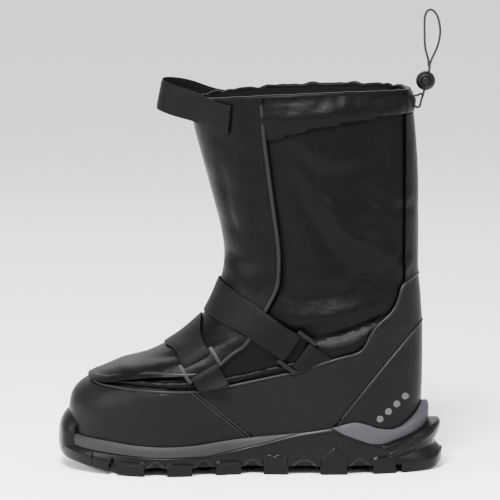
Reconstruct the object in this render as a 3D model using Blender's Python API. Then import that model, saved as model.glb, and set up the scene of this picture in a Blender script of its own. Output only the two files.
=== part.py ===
"""Winter overshoe, left foot, standing empty on its sole.

The frame is the boot's own: +X to the toe, +Y to the outer (lateral) side, +Z up, and the origin on the
floor under the middle of the sole. Tables and sizes are in millimetres; the mesh is in metres.

The upper is lofted from level rings. Each ring is a rounded plan shape that runs from the back profile to
the front profile, so that low rings are the foot's outline and high rings are the shaft's. Panels, flap and
straps are cut from shells between two larger forms of that same loft by outlines drawn in side view.
"""

import math

import bmesh
import bpy
import numpy as np
from mathutils import Matrix, Vector
from mathutils.bvhtree import BVHTree

MM = 0.001
GAP = 0.3  # between pieces that touch
SOLE_GAP = 0.6  # between the sole and what sits in it
BAND = 0.4  # least height of midsole that shows
FAR = 200  # well past the boot on every side

# Resolution of the lofts
COLUMNS = 40
LEVELS = 17
SMALL = 1e-3  # step of a turn or a level for a slope
LOCK_SIDES = 16
SHARP = math.radians(35)

# Thicknesses
WALL = 2.0
PANEL_IN, PANEL_OUT = 0.4, 1.7
FLAP_IN, FLAP_OUT = 2.0, 4.8
WEB_IN = 5.6
LUG_DEPTH = 7.5
OUTSOLE_BASE = 4.3
INSOLE_THICK = 5.0

# Profiles of the last in side view
FRONT_PROFILE = (  # height, x
    (26, 152.6), (51, 152.6), (57, 151.8), (62, 150.4), (67, 147.0), (71.5, 142.0),
    (75, 136.0), (78.5, 128.5), (82, 118.5), (86.3, 104.4), (92.5, 86.9), (97, 77.9), (101.7, 67.8),
    (110.3, 55.8), (119.4, 44.2), (129, 35.6), (138, 30.1), (147, 25.8), (155.7, 21.8), (166, 19.2),
    (175.5, 17.9), (184.3, 17.6), (193.5, 18.5), (211, 22.0), (228, 26.2), (245, 31.4), (262, 35.6),
    (279, 39.8), (290, 43.0), (316, 46.5),
)
BACK_PROFILE = (  # height, x
    (26, -141.0), (60, -143.0), (81, -143.8), (124, -143.6), (137, -142.7), (150, -141.8), (159, -140.9),
    (167, -140.0), (218, -139.9), (244, -139.6), (265, -138.7), (288, -136.9), (305, -135.0), (324, -132.0),
)

# Level rings of the last. follow is how far a ring keeps to the line where the upper meets the sole.
RING_COLUMNS = (
    "z_back", "z_front", "bow", "follow", "heel", "waist", "ball", "medial", "blunt_back", "blunt_front",
)
RINGS = (
    (57, 33, 0, 1.00, 51, 43, 63.0, 0.97, 2.4, 2.65),
    (72, 50, 0, 0.55, 51, 44, 63.0, 0.97, 2.4, 2.65),
    (88, 63, 0, 0.20, 50, 44, 61.0, 0.97, 2.4, 2.6),
    (104, 72.5, 0, 0.0, 49, 44, 57.0, 0.97, 2.4, 2.5),
    (118, 79, 0, 0.0, 48, 43.5, 52.0, 0.97, 2.4, 2.4),
    (130, 85, 0, 0.0, 48, 43.5, 48.5, 0.97, 2.4, 2.35),
    (142, 91, 0, 0.0, 48, 44, 46.0, 0.98, 2.4, 2.3),
    (153, 97, 0, 0.0, 48, 45, 45.0, 0.98, 2.4, 2.25),
    (163, 105, 0, 0.0, 48, 46, 44.5, 0.98, 2.4, 2.2),
    (172, 115, 0, 0.0, 48, 47, 44.5, 0.98, 2.4, 2.2),
    (181, 127, 0, 0.0, 48.5, 48, 44.5, 0.99, 2.4, 2.2),
    (191, 142, 0, 0.0, 48, 49, 43.0, 1.0, 2.4, 2.2),
    (203, 162, 0, 0.0, 49, 50, 44.0, 1.0, 2.4, 2.2),
    (217, 184, 0, 0.0, 50, 51, 46.0, 1.0, 2.4, 2.2),
    (235, 212, 0, 0.0, 51, 52, 48.0, 1.0, 2.4, 2.25),
    (257, 243, 0, 0.0, 52, 53, 49.0, 1.0, 2.4, 2.3),
    (280, 272, 1, 0.0, 53, 54, 50.0, 1.0, 2.4, 2.3),
    (303, 296, 2, 0.0, 53.5, 55, 51.0, 1.0, 2.4, 2.35),
    (321, 313, 3, 0.0, 54, 55.5, 52.0, 1.0, 2.4, 2.4),
)
STATIONS = (0.0, 0.15, 0.5, 0.8, 1.0)  # shares of a ring's length where its widths hold
TOE_SWING = 9.0  # how far the toe swings to the inner side
SWING_FROM, SWING_LENGTH, SWING_LEVEL = 20, 133, 0.45

# Heights along the sole
SOLE_TOP = (  # x on the feather line, height
    (-143, 57), (-139, 50), (-132, 43.5), (-125, 39), (-117, 37.2), (-107, 38.6), (-96, 42.6), (-87, 44.6),
    (-78, 43), (-67, 40), (-43, 36.4), (-14, 33.6), (24, 29.3), (47, 26.5), (71, 25.6), (94, 26.6),
    (118, 29), (141, 31), (154, 33),
)
WALL_TOP = (  # x on the feather line, height
    (-143, 42), (-137, 36), (-128, 31.6), (-118, 28.2), (-108, 25.5), (-102, 25.8), (-92, 29), (-78, 34.7),
    (-67, 39.6), (-55, 38.0), (-43, 36.1), (-8, 27.1), (24, 19.9), (41, 17), (71, 16.8), (106, 18.6),
    (130, 20.3), (140, 21.3), (154, 23.5),
)
GROUND = (  # x, height of the tread's underside
    (-166, 12), (-161, 6), (-154, 1.6), (-140, 0.5), (-126, 0), (98, 0), (112, 1.2), (128, 4.2), (143, 7.4),
    (155, 10.0), (161, 12.5), (166, 15),
)
LUGS = (  # x from, x to, half the width of the channel between the two rows
    (-170, -127, 0), (-122, -103, 9), (-81, -58.5, 9), (-31.5, -11, 11), (8, 29, 11), (49, 70, 12),
    (89, 113, 12), (119, 133, 9), (139, 175, 0),
)
CENTRE_LUGS = (  # x from, x to, half width
    (-99, -85, 17), (-53, -37, 17), (-5, 3, 19), (33, 45, 22), (74, 85, 22),
)
SIDE_PADS = (  # side-view outlines of the raised faces on the outsole's side
    ((-31, 2), (-31, 15), (-28, 16.5), (-14, 16.5), (-11, 15), (-11, 2)),
    ((-81, 2), (-81, 14), (-70, 23), (-59, 14), (-59, 2)),
    ((-122, 2), (-122, 13), (-119, 15), (-106, 15), (-103, 13), (-103, 2)),
    ((8, 2), (8, 11), (11, 12.5), (26, 12.5), (29, 11), (29, 2)),
    ((49, 2), (49, 10), (52, 11.5), (67, 11.5), (70, 10), (70, 2)),
    ((89, 3), (89, 11), (92, 12.5), (110, 13), (113, 12), (113, 3)),
)
HEEL_RIBS = (
    ((-112, 20), (-134, 28), (-150, 40), (-152, 44.5), (-148, 44.5), (-133, 33.5), (-112, 25)),
    ((-116, 12), (-138, 19), (-154, 31), (-156, 36), (-152, 36), (-137, 25), (-116, 17.5)),
)
PAD_OUT = 1.3
BUMPER = (  # distance out and height of the rubber that stands up in front of the toe
    (5.3, 17), (9.6, 14.5), (11.0, 21), (10.7, 31), (9.2, 38.5), (5.6, 45), (3.4, 47), (2.3, 46.3),
    (2.3, 34.6), (5.3, 34.6),
)
BUMPER_REACH = 3  # columns to each side of the toe
BUMPER_FADE = 0.35
FOOTBED = (  # x, height under the insole
    (-143, 28), (-100, 27), (-40, 25.5), (20, 21.0), (60, 18.8), (100, 19.3), (130, 22.5), (154, 27),
)

# How far the sole stands out from the feather line at the back, at the front and along the sides
ENDS_BLEND = 1.5  # how quickly the ends' reach gives way to the sides'
OUTSOLE_SIDE = (  # share of the height from the web to the wall's top, back, front, side
    (0.0, 20.0, 9.8, 4.4),
    (0.2, 17.0, 9.4, 5.2),
    (0.42, 13.6, 8.6, 5.4),
    (0.65, 16.8, 7.6, 5.2),
    (0.87, 18.4, 6.4, 4.9),
    (1.0, 17.4, 5.4, 4.6),
)
TREAD_SIDE = (18.6, 9.0, 3.2)
TREAD_ROOT = (18.6, 10.0, 4.0)
TREAD_LAP = 1.5
MIDSOLE_OUT = (8.0, 4.8, 4.4)
CUP_IN = 1.9  # from the feather line out to the inside of the outsole's wall
CUP_EDGE = 0.2  # from the upper's inner face in to the midsole's cup
INSOLE_EDGE = 0.6  # from the upper's inner face in to the insole

# Panel outlines in side view
PANEL_EDGE = (  # top of the toe rand and of the quarter, from the toe to the back
    (150, 78), (141, 77.5), (130, 74.5), (118, 72.8), (84, 71.3), (50, 71.0), (18, 75), (-24, 83.8),
    (-43, 88.5), (-72, 97.5), (-88, 101.5), (-96, 108.5), (-104, 123), (-116, 134), (-123, 146),
    (-126.5, 157), (-133, 163), (-142, 167), (-160, 169),
)
PANEL_SIDE_GAP = 0.4  # between panels along the boot
RAND_SEAM = ((46, 71.0), (0, 31))
RAND_FOOT, COUNTER_FOOT = -8, -69  # where the seams would meet the floor
COUNTER_SEAM = ((-69, 38), (-104, 81), (-128, 109), (-143, 126), (-160, 138))
COLLAR_SEAM = ((80, 270), (-13, 281.3), (-42, 288.7), (-90, 298.2), (-127, 302.6), (-160, 304))
BACK_STAY_X = -129.5
BACK_STAY_TOP = ((-160, 303.6), (BACK_STAY_X, 302.5))
FLAP_LATERAL = (  # free edge of the flap on the outer side, from the collar to the toe
    (-9, 330), (-10.5, 300), (-14.3, 266), (-20, 224), (-24.3, 191), (-24.4, 166), (-21, 152), (-12, 136),
    (2, 113), (9, 106.5), (17, 105), (23, 110), (31, 117), (41, 117), (56, 110), (69, 100), (72, 90),
    (78, 83), (90, 81.5), (107, 79.5), (120, 76.8), (130, 76.5), (138, 79), (142, 88),
)
FLAP_MEDIAL = (  # seam of the flap on the inner side
    (-8, 330), (-12, 300), (-17, 262), (-24, 224), (-27, 190), (-24, 160), (-14, 133), (0, 108), (20, 90),
    (50, 82), (84, 80), (107, 79.5), (120, 76.8), (130, 76.5), (138, 79), (142, 88),
)

# Webbing straps in side view: the edges above and below on the outer side, down to the buckle, and the
# whole outline on the inner side
INSTEP_ABOVE = ((60, 172), (25.6, 163), (-3, 142.5))
INSTEP_BELOW = ((8, 116.5), (41.5, 135.2), (60, 144))
INSTEP_MEDIAL = (
    (60, 172), (25.6, 163), (0, 141), (-40, 112), (-66, 95), (-52, 76), (-22, 95), (10, 115), (41.5, 135.2),
    (60, 144),
)
VAMP_ABOVE = ((60, 138), (41.5, 134.5), (37, 118))
VAMP_BELOW = ((66, 97), (75.5, 104.5), (90, 125))
VAMP_MEDIAL = (
    (60, 138), (41.5, 134.5), (34, 112), (24, 92), (14, 74), (38, 62), (50, 82), (62, 95), (75.5, 104.5),
    (90, 125),
)
STRAP_DROP = {  # share of x, share of height, and where along them a strap leaves the flap
    "instep_strap": (0.8, 0.6, 44, 58),
    "vamp_strap": (0.3, 0.95, 75, 88),
}
MEDIAL_IN = 2.1  # height of a strap over the last where it is sewn down on the inner side
HALF_LAP = 0.4  # overlap of a piece's two halves before they are joined

# Ladder buckles: centre in side view, and the strap's direction there
WEB = 25.0
WEB_THICK = 1.6
INSTEP_BUCKLE = ((-38.7, 104.0), (-0.8145, -0.580))
VAMP_BUCKLE = ((41.9, 91.2), (-0.50, -0.866))
BUCKLE_HALF = 9.3
BAR = 3.0
BAR_LOW, BAR_HIGH = 1.9, 3.9
RAIL = 3.4
RAIL_LOW, RAIL_HIGH = 2.2, 5.8
RAIL_CLEAR = 0.7  # between the webbing's edge and a rail
BAR_CLEAR = 0.2
BAR_LAP = 1.5  # length of a bar inside a rail
FOLD_AT = -5.2
FOLD_TOP = 6.3
UNDER_LOW, UNDER_HIGH = 0.4, 1.5  # the strap's end under the buckle
STRAP_OVER_BAR = 0.7
NEAR_BUCKLE = (18.0, 36.0)
ANCHOR_SPACE = 14
TAB_PROFILE = (  # along the strap, height
    (3.6, 0.4), (3.6, 6.2), (11.2, 6.2), (17, 3.6), (24, 2.2), (40, 1.4), (40, -14), (3.6, -14),
)

# Pull loop: centre line from the outer side round the front to the inner side
LOOP_START, LOOP_ROOT = (15.0, 299.5), (28.0, 303.0)
LOOP_FREE = (
    (45, 29.5, 307.5), (60, 21, 311.5), (72, 11, 315.0), (76.5, 0.5, 317.0), (73, -9.5, 318.0),
    (61, -18.5, 316.5), (46, -27.5, 312.0),
)
LOOP_LEAN = -0.2
LOOP_MEDIAL_RISE = 4
LOOP_OFF_FLAP = 0.5
LOOP_TURN = (7, 12)  # distance from the last where the webbing starts to turn upright, and its length

# Drawcord: one elastic cord out of the eyelet, through the lock, up into a loop and back
CORD = 2.0
STRAND_APART = 0.6  # of the cord's diameter, above and below the eyelet's middle
EYELET = (14.6, 314.4)  # y and height on the back of the collar tunnel
STRAND_A = ((-140.2, 13.4, 316.9), (-142.8, 12.6, 317.8), (-145.2, 11.6, 319.9))
STRAND_B = (
    (-137.4, 15.3, 308.6), (-140.2, 14.6, 306.8), (-142.2, 13.0, 308.8), (-143.3, 10.6, 313.2),
    (-144.8, 8.9, 316.6), (-145.4, 8.6, 319.9),
)
CORD_LOOP = (
    (-149.6, 8.7, 337.3), (-149.3, 8.8, 341.0), (-148.9, 9.0, 346.0), (-147.0, 9.6, 352.7),
    (-145.8, 10.0, 361.1), (-145.6, 10.0, 371.1), (-145.6, 10.0, 379.5), (-146.9, 10.0, 385.6),
    (-150.4, 10.0, 388.2), (-154.6, 10.0, 385.6), (-157.6, 10.0, 378.7), (-158.7, 10.0, 370.3),
    (-157.9, 10.0, 362.8), (-155.6, 10.2, 355.2), (-152.5, 10.7, 348.6), (-150.6, 11.2, 344.0),
    (-149.9, 11.3, 340.6), (-149.6, 11.3, 337.3),
)
LOCK_CENTRE = (-146.7, 10.0, 328.7)
LOCK_PROFILE = (  # radius, distance to the outer side
    (0, -6.8), (3.2, -6.6), (6.0, -5.2), (7.8, -2.6), (8.2, 0), (7.8, 2.8), (6.4, 5.2), (4.6, 6.4),
    (3.9, 6.2), (3.7, 4.6), (3.2, 4.9), (0, 5.3),
)

COLOURS = {
    "rubber": ((0.045, 0.046, 0.048), 0.62),
    "foam": ((0.19, 0.19, 0.20), 0.7),
    "coated": ((0.035, 0.034, 0.037), 0.6),
    "nylon": ((0.018, 0.017, 0.020), 0.55),
    "webbing": ((0.07, 0.068, 0.068), 0.75),
    "plastic": ((0.06, 0.06, 0.062), 0.45),
    "cord": ((0.05, 0.05, 0.052), 0.7),
    "footbed": ((0.03, 0.03, 0.032), 0.9),
}


def smooth(table, x):
    """A smooth curve through a table's rows that never overshoots them."""
    xs = np.array([row[0] for row in table], float)
    ys = np.array([row[1] for row in table], float)
    step = np.diff(xs)
    rise = np.diff(ys) / step
    slope = np.empty_like(ys)
    slope[0], slope[-1] = rise[0], rise[-1]
    for i in range(1, len(xs) - 1):
        a, b = rise[i - 1], rise[i]
        slope[i] = 0.0 if a * b <= 0 else 2 * a * b / (a + b)
    x = np.clip(np.asarray(x, float), xs[0], xs[-1])
    i = np.clip(np.searchsorted(xs, x, side="right") - 1, 0, len(xs) - 2)
    t = (x - xs[i]) / step[i]
    return (
        ys[i] * (1 + 2 * t) * (1 - t) ** 2
        + slope[i] * step[i] * t * (1 - t) ** 2
        + ys[i + 1] * t * t * (3 - 2 * t)
        + slope[i + 1] * step[i] * t * t * (t - 1)
    )


def ring_row(level):
    """The ring table's columns at a level between 0, the sole, and 1, the collar."""
    rows = np.array(RINGS, float)
    at = level * (len(rows) - 1)
    return {
        name: float(smooth(tuple(enumerate(rows[:, k])), at)) for k, name in enumerate(RING_COLUMNS)
    }


def plan_point(turn, x_back, x_front, widths, medial, blunt_back, blunt_front):
    """(x, y, share of the length) of a plan outline. turn is 0 at the back, and rises by the outer side."""
    angle = 2 * math.pi * turn
    c, s = math.cos(angle), math.sin(angle)
    blunt = blunt_back if c > 0 else blunt_front
    x = -c
    y = math.copysign((1 - abs(c) ** blunt) ** (1 / blunt), s)
    share = (1 + x) / 2
    width = float(smooth(tuple(zip(STATIONS, widths)), share))
    if y < 0:
        width *= medial
    return x_back + share * (x_front - x_back), y * width, share


def last_point(turn, level):
    """A point of the last's surface in millimetres."""
    row = ring_row(level)
    x_back = float(smooth(BACK_PROFILE, row["z_back"]))
    x_front = float(smooth(FRONT_PROFILE, row["z_front"]))
    widths = (row["heel"], row["heel"], row["waist"], row["ball"], row["ball"])
    x, y, share = plan_point(
        turn, x_back, x_front, widths, row["medial"], row["blunt_back"], row["blunt_front"]
    )
    flat = row["z_back"] + (row["z_front"] - row["z_back"]) * share + row["bow"] * 4 * share * (1 - share)
    z = row["follow"] * float(smooth(SOLE_TOP, x)) + (1 - row["follow"]) * flat
    if 0 < row["follow"] < 1:
        z = flat + row["follow"] * (float(smooth(SOLE_TOP, x)) - sole_line(share))
    fade = 1 - min(1.0, level / SWING_LEVEL)
    swing = TOE_SWING * max(0.0, (x - SWING_FROM) / SWING_LENGTH) ** 2 * fade
    return Vector((x, y - swing, z))


def sole_line(share):
    """Height of the straight line that joins the ends of the feather line."""
    return RINGS[0][0] + (RINGS[0][1] - RINGS[0][0]) * share


def last_grid():
    """The last's points and outward normals, by level and column."""
    points, normals = [], []
    for k in range(LEVELS):
        level = k / (LEVELS - 1)
        low, high = max(0.0, level - SMALL), min(1.0, level + SMALL)
        row, facing = [], []
        for i in range(COLUMNS):
            turn = i / COLUMNS
            along = last_point(turn + SMALL, level) - last_point(turn - SMALL, level)
            up = last_point(turn, high) - last_point(turn, low)
            out = up.cross(along)
            if k in (0, LEVELS - 1):
                out.z = 0
            row.append(last_point(turn, level))
            facing.append(out.normalized())
        points.append(row)
        normals.append(facing)
    return points, normals


POINTS, NORMALS = last_grid()


def material(name):
    made = bpy.data.materials.get(name)
    if made:
        return made
    colour, roughness = COLOURS[name]
    made = bpy.data.materials.new(name)
    made.use_nodes = True
    shader = made.node_tree.nodes["Principled BSDF"]
    shader.inputs["Base Color"].default_value = (*colour, 1)
    shader.inputs["Roughness"].default_value = roughness
    return made


def add_object(name, bm, finish=None):
    """A named object from a bmesh in millimetres. Without a finish it is a hidden cutter."""
    bmesh.ops.scale(bm, vec=(MM, MM, MM), verts=bm.verts)
    mesh = bpy.data.meshes.new(name)
    bm.to_mesh(mesh)
    bm.free()
    obj = bpy.data.objects.new(name, mesh)
    bpy.context.scene.collection.objects.link(obj)
    if finish is None:
        obj.hide_render = True
        obj.display_type = "WIRE"
    else:
        mesh.materials.append(material(finish))
        mesh.shade_smooth()
        mesh.set_sharp_from_angle(angle=SHARP)
    return obj


def ladder(bm, low, high):
    """Triangles between two rings, all split the same way, so that layers of one form stay parallel."""
    n = len(low)
    for i in range(n):
        j = (i + 1) % n
        bm.faces.new((low[i], high[i], high[j]))
        bm.faces.new((low[i], high[j], low[j]))


def between(outer_rings, inner_rings):
    """A closed bmesh between two stacks of rings, open through the middle."""
    bm = bmesh.new()
    outer = [[bm.verts.new(p) for p in ring] for ring in outer_rings]
    inner = [[bm.verts.new(p) for p in ring] for ring in inner_rings]
    for stack in (outer, inner):
        for low, high in zip(stack, stack[1:]):
            ladder(bm, low, high)
    ladder(bm, inner[0], outer[0])
    ladder(bm, inner[-1], outer[-1])
    bmesh.ops.recalc_face_normals(bm, faces=bm.faces)
    return bm


def skin(rings):
    """A closed bmesh through rings of points, with both ends capped by strips from side to side."""
    bm = bmesh.new()
    loops = [[bm.verts.new(p) for p in ring] for ring in rings]
    n = len(loops[0])
    for low, high in zip(loops, loops[1:]):
        ladder(bm, low, high)
    for loop, turned in ((loops[0], False), (loops[-1], True)):
        for i in range(n // 2):
            corners = [loop[i], loop[i + 1], loop[(n - i - 1) % n], loop[(n - i) % n]]
            corners = list(dict.fromkeys(corners))
            bm.faces.new(corners if not turned else corners[::-1])
    bmesh.ops.recalc_face_normals(bm, faces=bm.faces)
    return bm


def grown(amount):
    """The last's rings, grown outward by a distance or by a function of the point."""
    rings = []
    for points, normals in zip(POINTS, NORMALS):
        rings.append([p + n * (amount(p) if callable(amount) else amount) for p, n in zip(points, normals)])
    return rings


def shell(name, inner, outer, finish=None):
    """A closed shell between two growths of the last, open at the sole and at the collar."""
    bm = between(grown(outer), grown(inner))
    return add_object(name, bm, finish)


def through(points, count=2):
    """Points of a smooth curve through the given ones, in the plane or in space."""
    p = [Vector(q) for q in points]
    p = [2 * p[0] - p[1]] + p + [2 * p[-1] - p[-2]]
    out = []
    for a, b, c, d in zip(p, p[1:], p[2:], p[3:]):
        square, cube = 2 * a - 5 * b + 4 * c - d, 3 * b - a - 3 * c + d
        for k in range(count):
            t = k / count
            out.append(0.5 * (2 * b + (c - a) * t + square * t * t + cube * t**3))
    out.append(p[-2])
    return out


def side_curve(points):
    """Points of a smooth curve through a side-view outline's corners."""
    return [tuple(q) for q in through(points)]


def prism(outline, y_low, y_high):
    """A bmesh of a side-view outline carried across the boot."""
    bm = bmesh.new()
    face = bm.faces.new([bm.verts.new((x, y_low, z)) for x, z in outline])
    made = bmesh.ops.extrude_face_region(bm, geom=[face])
    moved = [v for v in made["geom"] if isinstance(v, bmesh.types.BMVert)]
    bmesh.ops.translate(bm, vec=(0, y_high - y_low, 0), verts=moved)
    bmesh.ops.recalc_face_normals(bm, faces=bm.faces)
    return bm


def boolean(obj, operation, other):
    modifier = obj.modifiers.new(operation.lower(), "BOOLEAN")
    modifier.operation = operation
    modifier.object = other
    modifier.solver = "EXACT"
    return modifier


def panel(name, outline, layer, finish):
    """A panel cut from a shell by its side-view outline."""
    made = add_object(name, prism(outline, -FAR, FAR), finish)
    boolean(made, "INTERSECT", layer)
    return made


def two_sided(name, lateral, medial, layer, finish):
    """A piece that crosses the front, with its own outline on each side."""
    other = add_object(name + "_inner_half", prism(medial, -FAR, HALF_LAP))
    made = add_object(name, prism(lateral, 0, FAR), finish)
    boolean(made, "UNION", other)
    boolean(made, "INTERSECT", layer)
    return made


def moved(points, dx, dz):
    return [(x + dx, z + dz) for x, z in points]


def build_upper():
    shell("upper", -WALL, 0.0, "nylon")


def build_panels():
    layer = shell("panel_layer", PANEL_IN, PANEL_OUT)
    edge = side_curve(PANEL_EDGE)
    (top_x, top_z), (low_x, low_z) = RAND_SEAM
    ahead = [p for p in edge if p[0] > top_x + 1]
    behind = [p for p in edge if p[0] < top_x - 1]
    front = [(RAND_FOOT, 0), (FAR, 0), (FAR, edge[0][1])]
    panel("toe_rand", ahead + list(RAND_SEAM) + front, layer, "coated")
    counter = side_curve(COUNTER_SEAM)
    seam = moved(RAND_SEAM, -PANEL_SIDE_GAP, 0)
    foot = [(COUNTER_FOOT + PANEL_SIDE_GAP, 0), (RAND_FOOT - PANEL_SIDE_GAP, 0)]
    panel("quarter", seam[:1] + behind + moved(counter, GAP, GAP)[::-1] + foot + seam[1:], layer, "coated")
    heel = [(-FAR, counter[-1][1]), (-FAR, 0), (COUNTER_FOOT, 0)]
    panel("heel_counter", counter + heel, layer, "coated")
    collar = side_curve(COLLAR_SEAM)
    rim = [(-FAR, collar[-1][1]), (-FAR, 2 * FAR), (collar[0][0], 2 * FAR)]
    panel("collar_tunnel", collar + rim, layer, "nylon")
    low = moved([p for p in edge if p[0] < BACK_STAY_X], 0, GAP)
    behind = [(-FAR, low[-1][1]), (-FAR, BACK_STAY_TOP[0][1])]
    panel("back_stay", [(BACK_STAY_X, low[0][1])] + low + behind + list(BACK_STAY_TOP), layer, "nylon")


def build_flap():
    layer = shell("flap_layer", FLAP_IN, FLAP_OUT)
    ahead = [(FAR, FLAP_LATERAL[-3][1]), (FAR, FLAP_LATERAL[0][1])]
    lateral = side_curve(FLAP_LATERAL) + ahead
    medial = side_curve(FLAP_MEDIAL) + ahead
    two_sided("flap", lateral, medial, layer, "nylon")


def ramp(value, start, end):
    """0 at start, 1 at end and a straight line between them."""
    return min(1.0, max(0.0, (value - start) / (end - start)))


def strap_lift(name, frame):
    """Height of a strap's underside: over the flap and the buckle, and low on the inner side."""
    of_x, of_z, low, high = STRAP_DROP[name]
    to_frame = frame.inverted()

    def lift(p):
        if p.y > 0:
            local = to_frame @ p
            wanted = BAR_HIGH + STRAP_OVER_BAR - local.z
            near = ramp(local.to_2d().length, NEAR_BUCKLE[1], NEAR_BUCKLE[0])
            return max(WEB_IN, WEB_IN + (wanted - WEB_IN) * near)
        t = ramp(of_x * p.x + of_z * p.z, low, high)
        return MEDIAL_IN + (WEB_IN - MEDIAL_IN) * t * t * (3 - 2 * t)

    return lift


def last_tree():
    corners = [p for ring in POINTS for p in ring]
    faces = []
    for k in range(LEVELS - 1):
        for i in range(COLUMNS):
            j = (i + 1) % COLUMNS
            low, high = k * COLUMNS, (k + 1) * COLUMNS
            faces += [(low + i, high + i, high + j), (low + i, high + j, low + j)]
    return BVHTree.FromPolygons(corners, faces)


LAST = last_tree()


def on_side(x, z, side=1):
    """The last's surface where a line across the boot meets it, and its outward normal."""
    hit, normal, _, _ = LAST.ray_cast(Vector((x, FAR * side, z)), Vector((0, -side, 0)))
    return hit, normal if normal.y * side > 0 else -normal


def seat(place):
    """A buckle's frame on the outer side: along the strap, across it, and out, clear of the last."""
    (x, z), (dx, dz) = place
    centre, _ = on_side(x, z)
    reach = (-BUCKLE_HALF, 0, BUCKLE_HALF)
    across = (-WEB / 2, 0, WEB / 2)
    spots = [on_side(x + dx * a - dz * w, z + dz * a + dx * w) for a in reach for w in across]
    out = sum((normal for _, normal in spots), Vector()).normalized()
    height = max((spot - centre).dot(out) for spot, _ in spots)
    along = Vector((dx, 0, dz))
    along = (along - out * along.dot(out)).normalized()
    side = out.cross(along)
    frame = Matrix((along, side, out)).transposed().to_4x4()
    frame.translation = centre + out * height
    return frame


def add_local(bm, frame, low, high):
    """A block whose corners are given along, across and out of a buckle's frame."""
    made = bmesh.ops.create_cube(bm, size=1)
    size = [b - a for a, b in zip(low, high)]
    middle = [(a + b) / 2 for a, b in zip(low, high)]
    bmesh.ops.scale(bm, vec=size, verts=made["verts"])
    bmesh.ops.translate(bm, vec=middle, verts=made["verts"])
    bmesh.ops.transform(bm, matrix=frame, verts=made["verts"])


def local_block(name, frame, low, high, finish=None):
    bm = bmesh.new()
    add_local(bm, frame, low, high)
    return add_object(name, bm, finish)


def build_buckle(name, place):
    """Two bars with a rail at each end, beside the webbing."""
    frame = seat(place)
    half = WEB / 2 + RAIL_CLEAR
    rail = local_block(
        name, frame, (-BUCKLE_HALF, half, RAIL_LOW), (BUCKLE_HALF, half + RAIL, RAIL_HIGH), "plastic"
    )
    other = local_block(
        name + "_rail", frame, (-BUCKLE_HALF, -half - RAIL, RAIL_LOW), (BUCKLE_HALF, -half, RAIL_HIGH)
    )
    boolean(rail, "UNION", other)
    for start in (-BUCKLE_HALF, BUCKLE_HALF - BAR):
        low = (start + BAR_CLEAR, -half - BAR_LAP, BAR_LOW)
        high = (start + BAR - BAR_CLEAR, half + BAR_LAP, BAR_HIGH)
        boolean(rail, "UNION", local_block(f"{name}_bar", frame, low, high))


def build_strap(name, above, below, medial, place):
    """Webbing over the flap, folded down behind the buckle's first bar and back under it."""
    frame = seat(place)
    edges = []
    for side in (-1, 1):
        edge = [frame @ Vector((a, side * WEB / 2, WEB_IN - 1)) for a in (-BUCKLE_HALF - 2, FOLD_AT)]
        edges.append([(p.x, p.z) for p in edge])
    upper, lower = sorted(edges, key=lambda edge: -edge[0][1])
    lateral = list(above) + upper + lower[::-1] + list(below)
    lift = strap_lift(name, frame)
    layer = shell(name + "_layer", lift, lambda p: lift(p) + WEB_THICK)
    strap = two_sided(name, lateral, medial, layer, "webbing")
    half = WEB / 2
    back = FOLD_AT + WEB_THICK
    low, high = (FOLD_AT, -half, UNDER_LOW), (back, half, FOLD_TOP)
    boolean(strap, "UNION", local_block(name + "_fold", frame, low, high))
    low, high = (1 - BUCKLE_HALF, -half, UNDER_LOW), (FOLD_AT + HALF_LAP, half, UNDER_HIGH)
    boolean(strap, "UNION", local_block(name + "_under", frame, low, high))


def above_panels():
    """Everything on the outer side above the top edge of the quarter and the rand."""
    edge = moved(side_curve(PANEL_EDGE), 0, 2 * GAP)
    top = [(edge[-1][0], 2 * FAR), (edge[0][0], 2 * FAR)]
    return add_object("above_panels", prism(edge + top, 0, FAR))


def build_anchor(name, place, space, above):
    """A tab of webbing from under the quarter's edge, looped round the buckle's last bar."""
    frame = seat(place)
    half = WEB / 2
    bm = bmesh.new()
    face = bm.faces.new([bm.verts.new(frame @ Vector((a, -half, h))) for a, h in TAB_PROFILE])
    made = bmesh.ops.extrude_face_region(bm, geom=[face])
    verts = [v for v in made["geom"] if isinstance(v, bmesh.types.BMVert)]
    bmesh.ops.translate(bm, vec=frame.to_3x3() @ Vector((0, WEB, 0)), verts=verts)
    bmesh.ops.recalc_face_normals(bm, faces=bm.faces)
    tab = add_object(name, bm, "webbing")
    boolean(tab, "INTERSECT", space)
    boolean(tab, "INTERSECT", above)
    hole_low = (BUCKLE_HALF - BAR - GAP, -half - 1, BAR_LOW - GAP)
    hole_high = (BUCKLE_HALF + GAP, half + 1, BAR_HIGH + GAP)
    boolean(tab, "DIFFERENCE", local_block(name + "_hole", frame, hole_low, hole_high))


def build_straps():
    build_strap("instep_strap", INSTEP_ABOVE, INSTEP_BELOW, INSTEP_MEDIAL, INSTEP_BUCKLE)
    build_strap("vamp_strap", VAMP_ABOVE, VAMP_BELOW, VAMP_MEDIAL, VAMP_BUCKLE)
    build_buckle("instep_buckle", INSTEP_BUCKLE)
    build_buckle("vamp_buckle", VAMP_BUCKLE)
    space = shell("anchor_space", PANEL_IN, ANCHOR_SPACE)
    above = above_panels()
    build_anchor("instep_anchor", INSTEP_BUCKLE, space, above)
    build_anchor("vamp_anchor", VAMP_BUCKLE, space, above)


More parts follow.
